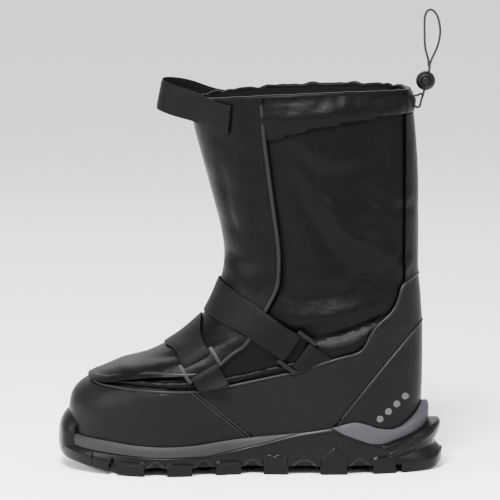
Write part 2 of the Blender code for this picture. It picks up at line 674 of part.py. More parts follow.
def build_pull_loop():
    """Webbing sewn to the flap on both sides and standing out in a loop at the front."""
    path = []
    for side in (1, -1):
        ends = []
        for x, z in (LOOP_START, LOOP_ROOT):
            z = z if side > 0 else z + LOOP_MEDIAL_RISE
            spot, out = on_side(x, z, side)
            ends.append(spot + out * (FLAP_OUT + GAP + WEB_THICK / 2 + LOOP_OFF_FLAP))
        path = path + ends + [Vector(p) for p in LOOP_FREE] if side > 0 else path + ends[::-1]
    line = through(path)
    bm = bmesh.new()
    rings = []
    for i, p in enumerate(line):
        ahead = line[min(i + 1, len(line) - 1)] - line[max(i - 1, 0)]
        spot, face, _, _ = LAST.find_nearest(p)
        face = face if face.dot(p - spot) > 0 else -face
        free = ramp((p - spot).length, LOOP_TURN[0], sum(LOOP_TURN))
        flat = Vector((0, 0, 1)) - face * face.z
        up = flat.lerp(Vector((LOOP_LEAN, 0, 1)), free)
        up = (up - ahead * up.dot(ahead) / ahead.length_squared).normalized() * WEB / 2
        out = ahead.cross(up).normalized() * WEB_THICK / 2
        rings.append([bm.verts.new(q) for q in (p - up - out, p + up - out, p + up + out, p - up + out)])
    for a, b in zip(rings, rings[1:]):
        for k in range(4):
            n = (k + 1) % 4
            bm.faces.new((a[k], a[n], b[n], b[k]))
    bm.faces.new(rings[0])
    bm.faces.new(rings[-1][::-1])
    bmesh.ops.recalc_face_normals(bm, faces=bm.faces)
    add_object("pull_loop", bm, "webbing")


def build_cord(name, points):
    """A round elastic cord along a smooth curve."""
    curve = bpy.data.curves.new(name, "CURVE")
    curve.dimensions = "3D"
    curve.bevel_depth = CORD / 2 * MM
    curve.bevel_resolution = 2
    curve.use_fill_caps = True
    line = through(points)
    spline = curve.splines.new("POLY")
    spline.points.add(len(line) - 1)
    for point, place in zip(spline.points, line):
        point.co = (*(place * MM), 1)
    curve.materials.append(material("cord"))
    bpy.context.scene.collection.objects.link(bpy.data.objects.new(name, curve))


def build_cord_lock():
    """A round lock with a recessed button that faces the outer side."""
    bm = bmesh.new()
    turns = [2 * math.pi * k / LOCK_SIDES for k in range(LOCK_SIDES)]
    rings = []
    for radius, along in LOCK_PROFILE[1:-1]:
        rings.append([bm.verts.new((radius * math.cos(a), along, radius * math.sin(a))) for a in turns])
    for a, b in zip(rings, rings[1:]):
        for k in range(LOCK_SIDES):
            n = (k + 1) % LOCK_SIDES
            bm.faces.new((a[k], a[n], b[n], b[k]))
    for ring, along in ((rings[0], LOCK_PROFILE[0][1]), (rings[-1], LOCK_PROFILE[-1][1])):
        tip = bm.verts.new((0, along, 0))
        for k in range(LOCK_SIDES):
            bm.faces.new((ring[k], ring[(k + 1) % LOCK_SIDES], tip))
    bmesh.ops.recalc_face_normals(bm, faces=bm.faces)
    bmesh.ops.transform(bm, matrix=Matrix.Translation(LOCK_CENTRE), verts=bm.verts)
    add_object("cord_lock", bm, "plastic")


def eyelet(rise):
    """A point just off the back of the collar tunnel, where the drawcord comes out."""
    y, z = EYELET
    spot, out, _, _ = LAST.ray_cast(Vector((-FAR, y, z + rise)), Vector((1, 0, 0)))
    out = out if out.x < 0 else -out
    return [tuple(spot + out * (PANEL_OUT + 2 * GAP)), tuple(spot + out * (PANEL_OUT + 2 * CORD))]


def build_drawcord():
    build_cord("drawcord_strand_a", eyelet(CORD * STRAND_APART) + list(STRAND_A))
    build_cord("drawcord_strand_b", eyelet(-CORD * STRAND_APART) + list(STRAND_B))
    build_cord("drawcord_loop", CORD_LOOP)
    build_cord_lock()


def feather(turn):
    """Plan place and outward direction of the line where the upper meets the sole."""
    along = last_point(turn + SMALL, 0) - last_point(turn - SMALL, 0)
    out = Vector((along.y, -along.x, 0)).normalized()
    p = last_point(turn, 0)
    inside = Vector((p.x / 2, 0, p.z))
    return p, (out if out.dot(p - inside) > 0 else -out)


FEATHER = [feather(i / COLUMNS) for i in range(COLUMNS)]


def sole_ring(back, front, side, height):
    """A ring of the sole, grown from the feather line. height takes (feather x, x) and gives z."""
    ring = []
    for p, out in FEATHER:
        share = abs(out.x) ** ENDS_BLEND
        ends = back if out.x < 0 else front
        grow = side + (ends - side) * share
        x, y = p.x + out.x * grow, p.y + out.y * grow
        ring.append(Vector((x, y, height(p.x, x))))
    return ring


def web_height(x):
    return float(smooth(GROUND, x)) + LUG_DEPTH


def wall_height(feather_x):
    return float(smooth(WALL_TOP, feather_x))


def top_height(feather_x):
    return float(smooth(SOLE_TOP, feather_x))


def build_outsole():
    rings = []
    for share, back, front, side in OUTSOLE_SIDE:
        rings.append(
            sole_ring(
                back, front, side,
                lambda fx, x, s=share: web_height(x) + s * (wall_height(fx) - SOLE_GAP - web_height(x)),
            )
        )
    side_rings = [[p.copy() for p in ring] for ring in rings]
    rings.append(sole_ring(CUP_IN, CUP_IN, CUP_IN, lambda fx, x: wall_height(fx) - SOLE_GAP))
    rings.append(sole_ring(CUP_IN, CUP_IN, CUP_IN, lambda fx, x: web_height(x) + OUTSOLE_BASE))
    outsole = add_object("outsole", skin(rings), "rubber")
    tread = add_object("tread", skin([
        sole_ring(*TREAD_SIDE, lambda fx, x: float(smooth(GROUND, x))),
        sole_ring(*TREAD_ROOT, lambda fx, x: web_height(x) + TREAD_LAP),
    ]))
    boolean(tread, "INTERSECT", lug_blocks())
    boolean(outsole, "UNION", tread)
    boolean(outsole, "UNION", toe_bumper())
    pads = add_object("side_pads", side_layer(side_rings, -1.0, PAD_OUT))
    boolean(pads, "INTERSECT", pad_blocks())
    boolean(outsole, "UNION", pads)


def toe_bumper():
    """The bumper's section swept round the toe, thinner and lower towards its two ends."""
    middle = COLUMNS // 2
    bm = bmesh.new()
    loops = []
    for i in range(middle - BUMPER_REACH, middle + BUMPER_REACH + 1):
        p, out = FEATHER[i]
        fade = 1 - BUMPER_FADE * (abs(i - middle) / BUMPER_REACH) ** 2
        inner = BUMPER[0][0]
        loop = []
        for grow, height in BUMPER:
            if grow > inner:
                grow = inner + (grow - inner) * fade
            loop.append(bm.verts.new((p.x + out.x * grow, p.y + out.y * grow, height)))
        loops.append(loop)
    for a, b in zip(loops, loops[1:]):
        for k in range(len(a)):
            n = (k + 1) % len(a)
            bm.faces.new((a[k], a[n], b[n], b[k]))
    bm.faces.new(loops[0])
    bm.faces.new(loops[-1][::-1])
    bmesh.ops.recalc_face_normals(bm, faces=bm.faces)
    return add_object("toe_bumper", bm)


def lug_blocks():
    """Blocks that the tread is cut to: rows of lugs at both edges, and lugs down the middle."""
    bm = bmesh.new()
    for x_from, x_to, channel in LUGS:
        sides = ((-FAR, -channel), (channel, FAR)) if channel else ((-FAR, FAR),)
        for y_from, y_to in sides:
            add_block(bm, (x_from, y_from, -FAR), (x_to, y_to, FAR))
    for x_from, x_to, half in CENTRE_LUGS:
        add_block(bm, (x_from, -half, -FAR), (x_to, half, FAR))
    return add_object("lug_blocks", bm)


def add_block(bm, low, high):
    made = bmesh.ops.create_cube(bm, size=1)
    size = [b - a for a, b in zip(low, high)]
    middle = [(a + b) / 2 for a, b in zip(low, high)]
    bmesh.ops.scale(bm, vec=size, verts=made["verts"])
    bmesh.ops.translate(bm, vec=middle, verts=made["verts"])


def side_layer(rings, inner, outer):
    """A closed layer along the outsole's side, for what stands out of it."""
    def pushed(amount):
        return [[p + out * amount for p, (_, out) in zip(ring, FEATHER)] for ring in rings]

    return between(pushed(outer), pushed(inner))


def pad_blocks():
    bm = bmesh.new()
    for outline in SIDE_PADS + HEEL_RIBS:
        part = prism(outline, -FAR, FAR)
        mesh = bpy.data.meshes.new("pad")
        part.to_mesh(mesh)
        part.free()
        bm.from_mesh(mesh)
        bpy.data.meshes.remove(mesh)
    return add_object("pad_blocks", bm)


def window_open(column):
    """True where the midsole shows above the outsole's wall, here and at both neighbours."""
    for k in (column - 1, column, column + 1):
        x = FEATHER[k % COLUMNS][0].x
        if top_height(x) - wall_height(x) < SOLE_GAP + BAND:
            return False
    return True


def build_midsole():
    inner = CUP_IN - GAP

    def band(height):
        """A ring that stands out where the midsole shows and is drawn in where the wall hides it."""
        shown = sole_ring(*MIDSOLE_OUT, height)
        hidden = sole_ring(inner, inner, inner, height)
        return [a if window_open(i) else b for i, (a, b) in enumerate(zip(shown, hidden))]

    def under_band(fx, x):
        return min(wall_height(fx), top_height(fx) - SOLE_GAP - BAND)

    def over_band(fx, x):
        return top_height(fx) - SOLE_GAP

    def footbed(fx, x):
        return float(smooth(FOOTBED, fx))

    cup = -WALL - CUP_EDGE
    rings = [
        sole_ring(inner, inner, inner, lambda fx, x: web_height(x) + OUTSOLE_BASE + GAP),
        sole_ring(inner, inner, inner, under_band),
        band(under_band),
        band(over_band),
        sole_ring(cup, cup, cup, over_band),
        sole_ring(cup, cup, cup, lambda fx, x: footbed(fx, x) - GAP),
    ]
    add_object("midsole", skin(rings), "foam")
    inset = -WALL - INSOLE_EDGE
    top = sole_ring(inset, inset, inset, lambda fx, x: footbed(fx, x) + INSOLE_THICK)
    add_object("insole", skin([sole_ring(inset, inset, inset, footbed), top]), "footbed")


def clear_scene():
    for obj in list(bpy.data.objects):
        bpy.data.objects.remove(obj)


def main():
    clear_scene()
    build_outsole()
    build_midsole()
    build_upper()
    build_panels()
    build_flap()
    build_straps()
    build_pull_loop()
    build_drawcord()


main()
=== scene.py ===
import math

import bmesh
import bpy
import numpy as np
from mathutils import Matrix, Vector
from mathutils.bvhtree import BVHTree


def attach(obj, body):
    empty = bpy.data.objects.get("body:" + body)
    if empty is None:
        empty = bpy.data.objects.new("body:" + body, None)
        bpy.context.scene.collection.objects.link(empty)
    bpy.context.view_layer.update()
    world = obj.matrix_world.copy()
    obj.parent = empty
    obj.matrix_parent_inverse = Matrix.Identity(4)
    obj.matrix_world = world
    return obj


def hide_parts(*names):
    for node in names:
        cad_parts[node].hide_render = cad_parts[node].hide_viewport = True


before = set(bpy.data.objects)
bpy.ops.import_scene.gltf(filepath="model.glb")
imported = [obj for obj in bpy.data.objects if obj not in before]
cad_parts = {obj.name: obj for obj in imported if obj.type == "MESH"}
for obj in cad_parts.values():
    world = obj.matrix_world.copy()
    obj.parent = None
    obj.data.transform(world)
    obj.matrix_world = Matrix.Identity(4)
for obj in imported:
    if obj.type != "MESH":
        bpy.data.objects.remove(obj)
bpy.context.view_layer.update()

# Sizes are in millimetres, +X to the toe, +Y to the outer side, +Z up. Meshes are made in metres.
MM = 0.001
FAR = 200
GAP = 0.3
SHARP = math.radians(40)

# The upper's outer face, read from the frame as rings from the sole up
RIM_WIDTH = 0.0026  # metres, more than the wall and less than any other edge
SOLE_LIMIT = 0.060  # metres, above the lower rim
FINE = 6  # steps between two points of the frame's rings, both ways

# Heights over the upper's outer face
WALL = 2.0
PANEL_IN, PANEL_OUT = 0.4, 1.9
COLLAR_OUT = 2.6
BACK_STAY_OUT = 1.8
FLAP_IN, FLAP_OUT = 2.0, 4.8
STRAP_IN, STRAP_THICK = 5.6, 1.6
MEDIAL_IN = 2.3  # under the straps on the inner side, where they leave the flap
PIPING_LIFT = PANEL_OUT + 0.1
WEB = 25.0
ACROSS = 9  # points across a strap
TAB_THICK = 1.3
STITCH_INSET = 3.4
SWEEP_PITCH = 1.5
PANEL_ROWS, COLLAR_ROW, STAY_ROW = 66, 60, 30  # rows of the form that the layers start or end at

# Outlines in side view, x and height
PANEL_EDGE = (  # top of the toe rand and of the quarter, from the toe to the back
    (150, 78), (141, 77.5), (130, 74.5), (118, 72.8), (84, 71.3), (50, 71.0), (18, 75), (-24, 83.8),
    (-43, 88.5), (-72, 97.5), (-88, 101.5), (-96, 108.5), (-104, 123), (-116, 134), (-123, 146),
    (-126.5, 157), (-133, 163), (-142, 167), (-160, 169),
)
RAND_SEAM = ((46, 71.0), (0, 31))
COUNTER_SEAM = ((-69, 38), (-104, 81), (-128, 109), (-143, 126), (-160, 138))
COLLAR_SEAM = ((80, 270), (-13, 281.3), (-42, 288.7), (-90, 298.2), (-127, 302.6), (-160, 304))
BACK_STAY_X = -129.5
FLAP_LATERAL = (  # free edge of the flap on the outer side, from the collar to the toe
    (-9, 330), (-10.5, 300), (-14.3, 266), (-20, 224), (-24.3, 191), (-24.4, 166), (-21, 152), (-12, 136),
    (2, 113), (14, 103), (24, 95), (33, 88.5), (50, 84.5), (78, 83.5), (90, 82), (107, 79.8), (120, 77.2),
    (130, 76.8), (138, 79), (142, 88),
)
FLAP_MEDIAL = (
    (-8, 330), (-12, 300), (-17, 262), (-24, 224), (-27, 190), (-24, 160), (-14, 133), (0, 108), (20, 90),
    (50, 82), (84, 80), (107, 79.8), (120, 77.2), (130, 76.8), (138, 79), (142, 88),
)


def pick(obj):
    """Makes one object the only selected and the active one."""
    bpy.ops.object.select_all(action="DESELECT")
    obj.select_set(True)
    bpy.context.view_layer.objects.active = obj


def applied(obj, kind, **settings):
    """Adds one modifier with its settings and applies it."""
    pick(obj)
    modifier = obj.modifiers.new(kind.lower(), kind)
    for key, value in settings.items():
        setattr(modifier, key, value)
    bpy.ops.object.modifier_apply(modifier=modifier.name)


def upper_rings():
    """The upper's outer face, ring by ring from the sole up, each from the heel by the outer side."""
    bm = bmesh.new()
    bm.from_mesh(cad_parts["upper"].data)
    bmesh.ops.remove_doubles(bm, verts=bm.verts, dist=1e-5)
    rim = [f for f in bm.faces if min(e.calc_length() for e in f.edges) < RIM_WIDTH]
    bmesh.ops.delete(bm, geom=rim, context="FACES")
    low = [v for v in bm.verts if v.is_boundary and v.co.z < SOLE_LIMIT]
    start = min(low, key=lambda v: v.co.x)

    def beside(vert):
        return [e.other_vert(vert) for e in vert.link_edges if e.is_boundary]

    ring = [start, max(beside(start), key=lambda v: v.co.y)]
    while True:
        ahead = [v for v in beside(ring[-1]) if v is not ring[-2]]
        if ahead[0] is start:
            break
        ring.append(ahead[0])
    rings, used = [ring], set(ring)
    while True:
        above = []
        for i, vert in enumerate(ring):
            near = {e.other_vert(vert) for e in vert.link_edges}
            before = {e.other_vert(ring[i - 1]) for e in ring[i - 1].link_edges}
            above += [v for v in near & before if v not in used]
        if not above:
            break
        ring = above
        used |= set(ring)
        rings.append(ring)
    points = np.array([[tuple(v.co / MM) for v in ring] for ring in rings])
    bm.free()
    return points


def spline(knots, count, closed):
    """A smooth curve through the knots along their first axis, with count steps between two."""
    n = len(knots)
    system, bend = np.eye(n) * 2 / 3, np.zeros(knots.shape)
    for i in range(n):
        if not closed and i in (0, n - 1):
            system[i, i] = 1
            continue
        before, after = (i - 1) % n, (i + 1) % n
        system[i, before] += 1 / 6
        system[i, after] += 1 / 6
        bend[i] = knots[before] - 2 * knots[i] + knots[after]
    second = np.linalg.solve(system, bend.reshape(n, -1)).reshape(knots.shape)
    out = []
    for i in range(n if closed else n - 1):
        j = (i + 1) % n
        for k in range(count):
            t = k / count
            s = 1 - t
            curve = (s**3 - s) / 6 * second[i] + (t**3 - t) / 6 * second[j]
            out.append(s * knots[i] + t * knots[j] + curve)
    if not closed:
        out.append(knots[-1])
    return np.array(out)


def through(points, count=6, closed=False):
    """A smooth curve through a list of points."""
    return spline(np.array(points, float), count, closed)


def unit(vectors):
    return vectors / np.linalg.norm(vectors, axis=-1, keepdims=True)


def step(value, start, end):
    """0 up to start, 1 from end on, and a soft rise between them."""
    t = np.clip((value - start) / (end - start), 0, 1)
    return t * t * (3 - 2 * t)


FORM = spline(spline(upper_rings(), FINE, False).swapaxes(0, 1), FINE, True).swapaxes(0, 1)
LEVELS, COLUMNS = FORM.shape[:2]
AROUND = np.roll(FORM, -1, 1) - np.roll(FORM, 1, 1)
NORMAL = np.cross(np.gradient(FORM, axis=0), AROUND)
NORMAL[0, :, 2] = NORMAL[-1, :, 2] = 0
NORMAL = unit(NORMAL)


def grid_faces(rows, columns, start=0, closed=True, flip=False):
    """Quads of a grid of points, facing out where the rows rise and the columns run clockwise."""
    k, i = np.meshgrid(np.arange(rows - 1), np.arange(columns if closed else columns - 1), indexing="ij")
    j = (i + 1) % columns
    quads = np.stack([k * columns + i, (k + 1) * columns + i, (k + 1) * columns + j, k * columns + j], -1)
    quads = quads.reshape(-1, 4) + start
    return (quads[:, ::-1] if flip else quads).tolist()


FORM_TREE = BVHTree.FromPolygons(FORM.reshape(-1, 3).tolist(), grid_faces(LEVELS, COLUMNS))


def tube_faces(rows, n, closed=False, caps=True):
    """Quads between neighbouring rings of n points, and the ends of an open tube."""
    faces = []
    for k in range(rows if closed else rows - 1):
        following = (k + 1) % rows
        for i in range(n):
            j = (i + 1) % n
            faces.append([k * n + i, k * n + j, following * n + j, following * n + i])
    if caps and not closed:
        faces += [list(range(n)), list(range(rows * n - 1, (rows - 1) * n - 1, -1))]
    return faces


def made(name, points, faces, finish, node=None, slot=None, outward=True):
    """A new piece from points in millimetres, which may stand for a node of the frame."""
    mesh = bpy.data.meshes.new(name)
    mesh.from_pydata((np.asarray(points, float).reshape(-1, 3) * MM).tolist(), [], faces)
    obj = bpy.data.objects.new(name, mesh)
    bpy.context.scene.collection.objects.link(obj)
    if outward:
        bm = bmesh.new()
        bm.from_mesh(mesh)
        bmesh.ops.recalc_face_normals(bm, faces=bm.faces)
        bm.to_mesh(mesh)
        bm.free()
    if finish:
        mesh.materials.append(FINISH[finish])
    return dressed(obj, node, slot)


def dressed(obj, node=None, slot=None):
    """Smooth shading; a slot joins the piece to the root body, and the node of the frame that it stands for
    is hidden.
    """
    obj.data.shade_smooth()
    obj.data.set_sharp_from_angle(angle=SHARP)
    if slot:
        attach(obj, "root")
    if node:
        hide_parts(*([node] if isinstance(node, str) else node))
    return obj


def grown(height, low=0, high=None):
    """The form's rings between two levels, raised by one height or by one for each point."""
    rings, facing = FORM[low:high], NORMAL[low:high]
    return rings + facing * (height[..., None] if np.ndim(height) else height)


def layer(name, inner, outer, low=0, high=None, finish=None, **what):
    """A closed layer between two heights over the form, open at the sole and at the collar."""
    outside, inside = grown(outer, low, high), grown(inner, low, high)
    rows, n = outside.shape[:2]
    total = rows * n
    faces = grid_faces(rows, n) + grid_faces(rows, n, total, flip=True)
    for i in range(n):
        j = (i + 1) % n
        faces.append([i, j, total + j, total + i])
        top = total - n
        faces.append([top + j, top + i, total + top + i, total + top + j])
    return made(name, np.concatenate([outside, inside]), faces, finish, **what)


def prism(outline, y_low=-FAR, y_high=FAR):
    """A side-view outline carried across the boot."""
    n = len(outline)
    points = [(x, y, z) for y in (y_low, y_high) for x, z in outline]
    faces = [list(range(n)), list(range(2 * n - 1, n - 1, -1))]
    faces += [[i, i + n, (i + 1) % n + n, (i + 1) % n] for i in range(n)]
    return made("cutter", points, faces, None)


def cut(obj, tool, operation="INTERSECT"):
    """Cuts a piece with a tool, which is then removed."""
    applied(obj, "BOOLEAN", operation=operation, object=tool, solver="EXACT")
    bpy.data.objects.remove(tool)
    return obj


def smooth_line(points):
    """A cutting outline, smoothed."""
    return [tuple(p) for p in through(points, 3)]


def relief(points, folds):
    """Height of soft folds at points of the form: each is a side-view line, a width, a height, a side."""
    total = np.zeros(points.shape[:-1])
    flat = points[..., (0, 2)]
    for line, width, height, side in folds:
        line = through(line, 3)
        near, share = np.full(total.shape, np.inf), np.zeros(total.shape)
        for k, (a, b) in enumerate(zip(line, line[1:])):
            t = np.clip((flat - a) @ (b - a) / ((b - a) @ (b - a)), 0, 1)
            away = np.linalg.norm(flat - a - t[..., None] * (b - a), axis=-1)
            share = np.where(away < near, (k + t) / (len(line) - 1), share)
            near = np.minimum(near, away)
        ends = 0.25 + 0.75 * np.sqrt(np.sin(np.pi * np.clip(share, 0.0, 1.0)))
        amount = height * np.exp(-((near / width) ** 2)) * ends
        if side:
            amount = amount * step(points[..., 1] * side, -4, 10)
        total += amount
    return total


# Folds and pillows: side-view line, half width, height, side (1 outer, -1 inner, 0 both)
SHAFT_FOLDS = (
    (((-61.7, 232.3), (-78.4, 206), (-103.5, 193), (-130, 168)), 7.0, 4.2, 1),
    (((-36, 252), (-50, 216), (-76, 182), (-112, 152)), 7.0, -2.6, 1),
    (((-28, 131), (-70, 134), (-118, 150)), 8.0, 4.0, 1),
    (((-50, 112.5), (-80, 119), (-112, 131.5)), 3.4, -3.6, 1),
    (((-60, 103), (-86, 109), (-106, 120)), 4.5, 1.9, 1),
    (((-30, 152), (-62, 152), (-108, 167)), 7.0, -2.4, 1),
    (((-28, 172), (-56, 164), (-96, 178)), 6.0, 1.6, 1),
    (((-32.6, 274.1), (-49.2, 257.4), (-65.8, 253.2), (-98, 258)), 4.0, -2.0, 1),
    (((-40, 284), (-62, 268), (-92, 270)), 6.0, 1.8, 1),
    (((-94, 244), (-110, 228), (-136, 222)), 5.0, -1.8, 0),
    (((-60, 228), (-92, 220), (-132, 234)), 5.0, 1.2, 1),
    (((-70, 176), (-96, 164), (-130, 186)), 4.5, -1.4, 1),
    (((-104, 276), (-118, 250), (-116, 214)), 8.0, 1.4, 0),
    (((-46, 238), (-62, 224), (-70, 206)), 3.0, -1.0, 1),
    (((-52, 198), (-68, 178), (-92, 166)), 3.0, -0.9, 1),
    (((-88, 206), (-106, 200), (-122, 186)), 2.5, 0.8, 1),
    (((-30, 244), (-60, 222), (-112, 214), (-138, 196)), 8.0, 2.4, -1),
    (((-32, 214), (-66, 196), (-112, 186)), 6.0, -2.2, -1),
    (((-32, 188), (-70, 170), (-126, 172)), 8.0, 2.4, -1),
    (((-30, 160), (-70, 146), (-112, 152)), 5.0, -2.2, -1),
    (((-24, 132), (-66, 122), (-108, 132)), 8.0, 2.4, -1),
    (((-30, 276), (-70, 262), (-120, 268)), 5.0, -1.8, -1),
)
FLAP_FOLDS = (
    (((14.7, 305.7), (16, 297), (17.2, 288.2)), 1.3, -0.9, 1),
    (((28, 286.6), (16, 276), (3.9, 265.7)), 1.3, -0.9, 1),
    (((2, 300), (8, 262), (2, 226), (2, 190)), 9.0, 1.6, 1),
    (((22, 262), (16, 230), (10, 204)), 3.0, -0.9, 1),
    (((-14, 262), (-4, 236), (-8, 206)), 4.0, -0.8, 1),
    (((30, 286), (10, 274), (-10, 268)), 3.0, -0.9, 1),
    (((32, 250), (10, 240), (-16, 232)), 5.0, -0.9, 1),
    (((24, 214), (4, 206), (-18, 204)), 5.0, -1.0, 1),
    (((18, 188), (0, 180), (-20, 178)), 4.5, -1.2, 1),
    (((-18, 168), (0, 166), (18, 176)), 6.0, 1.2, 1),
    (((14, 300), (18, 250), (8, 206), (4, 180)), 10.0, 0.9, -1),
    (((26, 240), (0, 226), (-22, 224)), 5.0, -0.9, -1),
    (((20, 206), (0, 190), (-24, 188)), 5.0, -1.1, -1),
    (((92, 82), (106, 84), (118, 80)), 3.5, 1.0, 0),
    (((40, 92), (58, 90), (84, 88), (110, 82)), 4.0, 0.9, 0),
    (((48, 99), (66, 95), (88, 89)), 2.6, -0.7, 0),
    (((14, 116), (30, 104), (40, 100)), 4.0, 1.0, 0),
    (((6, 122), (22, 112), (34, 108)), 3.0, -0.9, 0),
)
PANEL_FOLDS = (
    (((130.3, 68.2), (118, 72.5), (109.4, 74.7)), 2.0, -0.5, 1),
    (((147.1, 59.7), (136, 63.5), (126.1, 65.7)), 2.0, -0.6, 1),
    (((136, 50), (120, 56), (104, 58)), 5.0, 0.5, 0),
    (((60, 60), (30, 56), (10, 60)), 8.0, 0.6, 0),
    (((-20, 66), (-50, 70), (-84, 86)), 8.0, 0.9, 0),
    (((-24, 54), (-46, 54), (-64, 60)), 4.0, -0.5, 0),
    (((-104, 96), (-116, 116), (-132, 132)), 6.0, 0.7, 0),
    (((-96, 60), (-116, 84), (-136, 98)), 9.0, 0.7, 0),
)
COLLAR_FOLDS = (
    (((34, 298), (-30, 300), (-90, 307), (-144, 311)), 8.5, 3.4, 0),
    (((26, 275), (-30, 283.5), (-90, 297), (-144, 303)), 3.0, -1.4, 0),
    (((34, 315), (-30, 317), (-90, 321), (-144, 323)), 2.0, -1.6, 0),
    (((-40, 300), (-52, 306), (-60, 313)), 2.2, -0.9, 1),
    (((-76, 305), (-84, 311), (-88, 318)), 2.2, -0.9, 1),
    (((-104, 306), (-112, 312), (-116, 319)), 2.2, -0.8, 1),
    (((-16, 292), (-26, 300), (-30, 311)), 2.4, -0.9, 1),
)


def gathers(points):
    """Small pulled puckers along a gathered band."""
    count = np.arange(points.shape[1]) * 2 * np.pi / points.shape[1]
    rows = np.arange(points.shape[0])[:, None]
    wave = np.sin(31 * count + 0.3 * rows)
    wave = wave + 0.6 * np.sin(47 * count + 2 + 0.2 * rows) + 0.5 * np.sin(19 * count + 4)
    return 0.13 * wave


def build_upper():
    """The nylon boot with its shaft folds, and the lining inside."""
    edge = np.array(PANEL_EDGE[::-1], float)
    above = FORM[..., 2] - np.interp(FORM[..., 0], edge[:, 0], edge[:, 1])
    folds = relief(FORM, SHAFT_FOLDS) * step(above, -1, 4)
    obj = layer("upper_cloth", folds - WALL, folds, finish="nylon", node="upper", slot="nylon")
    obj.data.materials.append(FINISH["lining"])
    outside = (LEVELS - 1) * COLUMNS
    for index in range(outside, len(obj.data.polygons) - 2 * COLUMNS):
        obj.data.polygons[index].material_index = 1


def panel(name, outline, low, high, outer, finish, slot, node):
    """A panel of the upper, cut from a layer by its side-view outline."""
    cut(layer(name, PANEL_IN, outer, low, high, finish=finish, slot=slot, node=node), prism(outline))


def build_panels():
    """The toe rand, the quarter, the heel counter, the collar band and the back stay."""
    edge = smooth_line(PANEL_EDGE)
    top_x = RAND_SEAM[0][0]
    ahead = [p for p in edge if p[0] > top_x + 1]
    behind = [p for p in edge if p[0] < top_x - 1]
    rows = FORM[:PANEL_ROWS]
    outer = PANEL_OUT + relief(rows, SHAFT_FOLDS) * 0.5 + relief(rows, PANEL_FOLDS)
    front = [(-8, 0), (FAR, 0), (FAR, edge[0][1])]
    what = dict(low=0, high=PANEL_ROWS, outer=outer, finish="coated", slot="coated")
    panel("toe_rand_cloth", ahead + list(RAND_SEAM) + front, node="toe_rand", **what)
    counter = smooth_line(COUNTER_SEAM)
    seam = [(x - 0.4, z) for x, z in RAND_SEAM]
    foot = [(-68.6, 0), (-8.4, 0)]
    upper_edge = [(x + GAP, z + GAP) for x, z in counter][::-1]
    panel("quarter_cloth", seam[:1] + behind + upper_edge + foot + seam[1:], node="quarter", **what)
    heel = [(-FAR, counter[-1][1]), (-FAR, 0), (-69, 0)]
    panel("heel_counter_cloth", counter + heel, node="heel_counter", **what)
    collar = smooth_line(COLLAR_SEAM)
    rows = FORM[COLLAR_ROW:]
    outer = COLLAR_OUT + relief(rows, COLLAR_FOLDS) + gathers(rows)
    rim = [(-FAR, collar[-1][1]), (-FAR, 2 * FAR), (collar[0][0], 2 * FAR)]
    panel("collar_cloth", collar + rim, COLLAR_ROW, None, outer, "nylon", "nylon", "collar_tunnel")
    outer = BACK_STAY_OUT + relief(FORM[STAY_ROW:], SHAFT_FOLDS)
    bottom = [(x, z + GAP) for x, z in edge if x < BACK_STAY_X]
    behind = [(-FAR, bottom[-1][1]), (-FAR, 303.6), (BACK_STAY_X, 302.5)]
    stay = [(BACK_STAY_X, bottom[0][1])] + bottom + behind
    panel("back_stay_cloth", stay, STAY_ROW, None, outer, "nylon", "nylon", "back_stay")


def build_flap():
    """The front flap, cut on each side by its own edge."""
    ahead = [(FAR, FLAP_LATERAL[-3][1]), (FAR, FLAP_LATERAL[0][1])]
    tool = prism(smooth_line(FLAP_LATERAL) + ahead, 0, FAR)
    other = prism(smooth_line(FLAP_MEDIAL) + ahead, -FAR, 0.4)
    cut(tool, other, "UNION")
    outer = FLAP_OUT + relief(FORM, FLAP_FOLDS)
    obj = layer("flap_cloth", FLAP_IN, outer, finish="nylon", node="flap", slot="nylon")
    cut(obj, tool)


def on_form(x, z, side=1, lift=0.0):
    """Place and outward direction where a line across the boot meets the form, or nothing."""
    hit, normal, _, _ = FORM_TREE.ray_cast(Vector((x, FAR * side, z)), Vector((0, -side, 0)))
    if hit is None:
        return None
    normal = normal if normal.y * side > 0 else -normal
    return hit + normal * lift, normal


def trace(line, lift, side=1, count=5):
    """Places and outward directions over the form along a side-view line."""
    spots = [on_form(x, z, side, lift) for x, z in through(line, count)]
    spots = [s for s in spots if s]
    return np.array([tuple(s[0]) for s in spots]), np.array([tuple(s[1]) for s in spots])


def oval(width, height, count=10):
    """A closed section, across and out."""
    turns = 2 * np.pi * np.arange(count) / count
    c, s = np.cos(turns), np.sin(turns)
    return np.stack([c * width / 2, s * height / 2], 1)


def even(points, facing, pitch):
    """The same line with even steps."""
    walk = np.concatenate([[0], np.cumsum(np.linalg.norm(np.diff(points, axis=0), axis=1))])
    count = max(2, int(walk[-1] / pitch))
    at = np.linspace(0, walk[-1], count + 1)
    columns = [np.interp(at, walk, column) for column in (*points.T, *facing.T)]
    both = np.stack(columns, 1)
    return both[:, :3], unit(both[:, 3:]), at


def lay_along(obj, walk, across):
    """A UV map in metres that runs along a piece and across it."""
    uv = obj.data.uv_layers.new(name="along")
    loops = np.empty(len(obj.data.loops), int)
    obj.data.loops.foreach_get("vertex_index", loops)
    flat = np.stack([walk, across], 1) * MM
    uv.data.foreach_set("uv", flat[loops].reshape(-1))


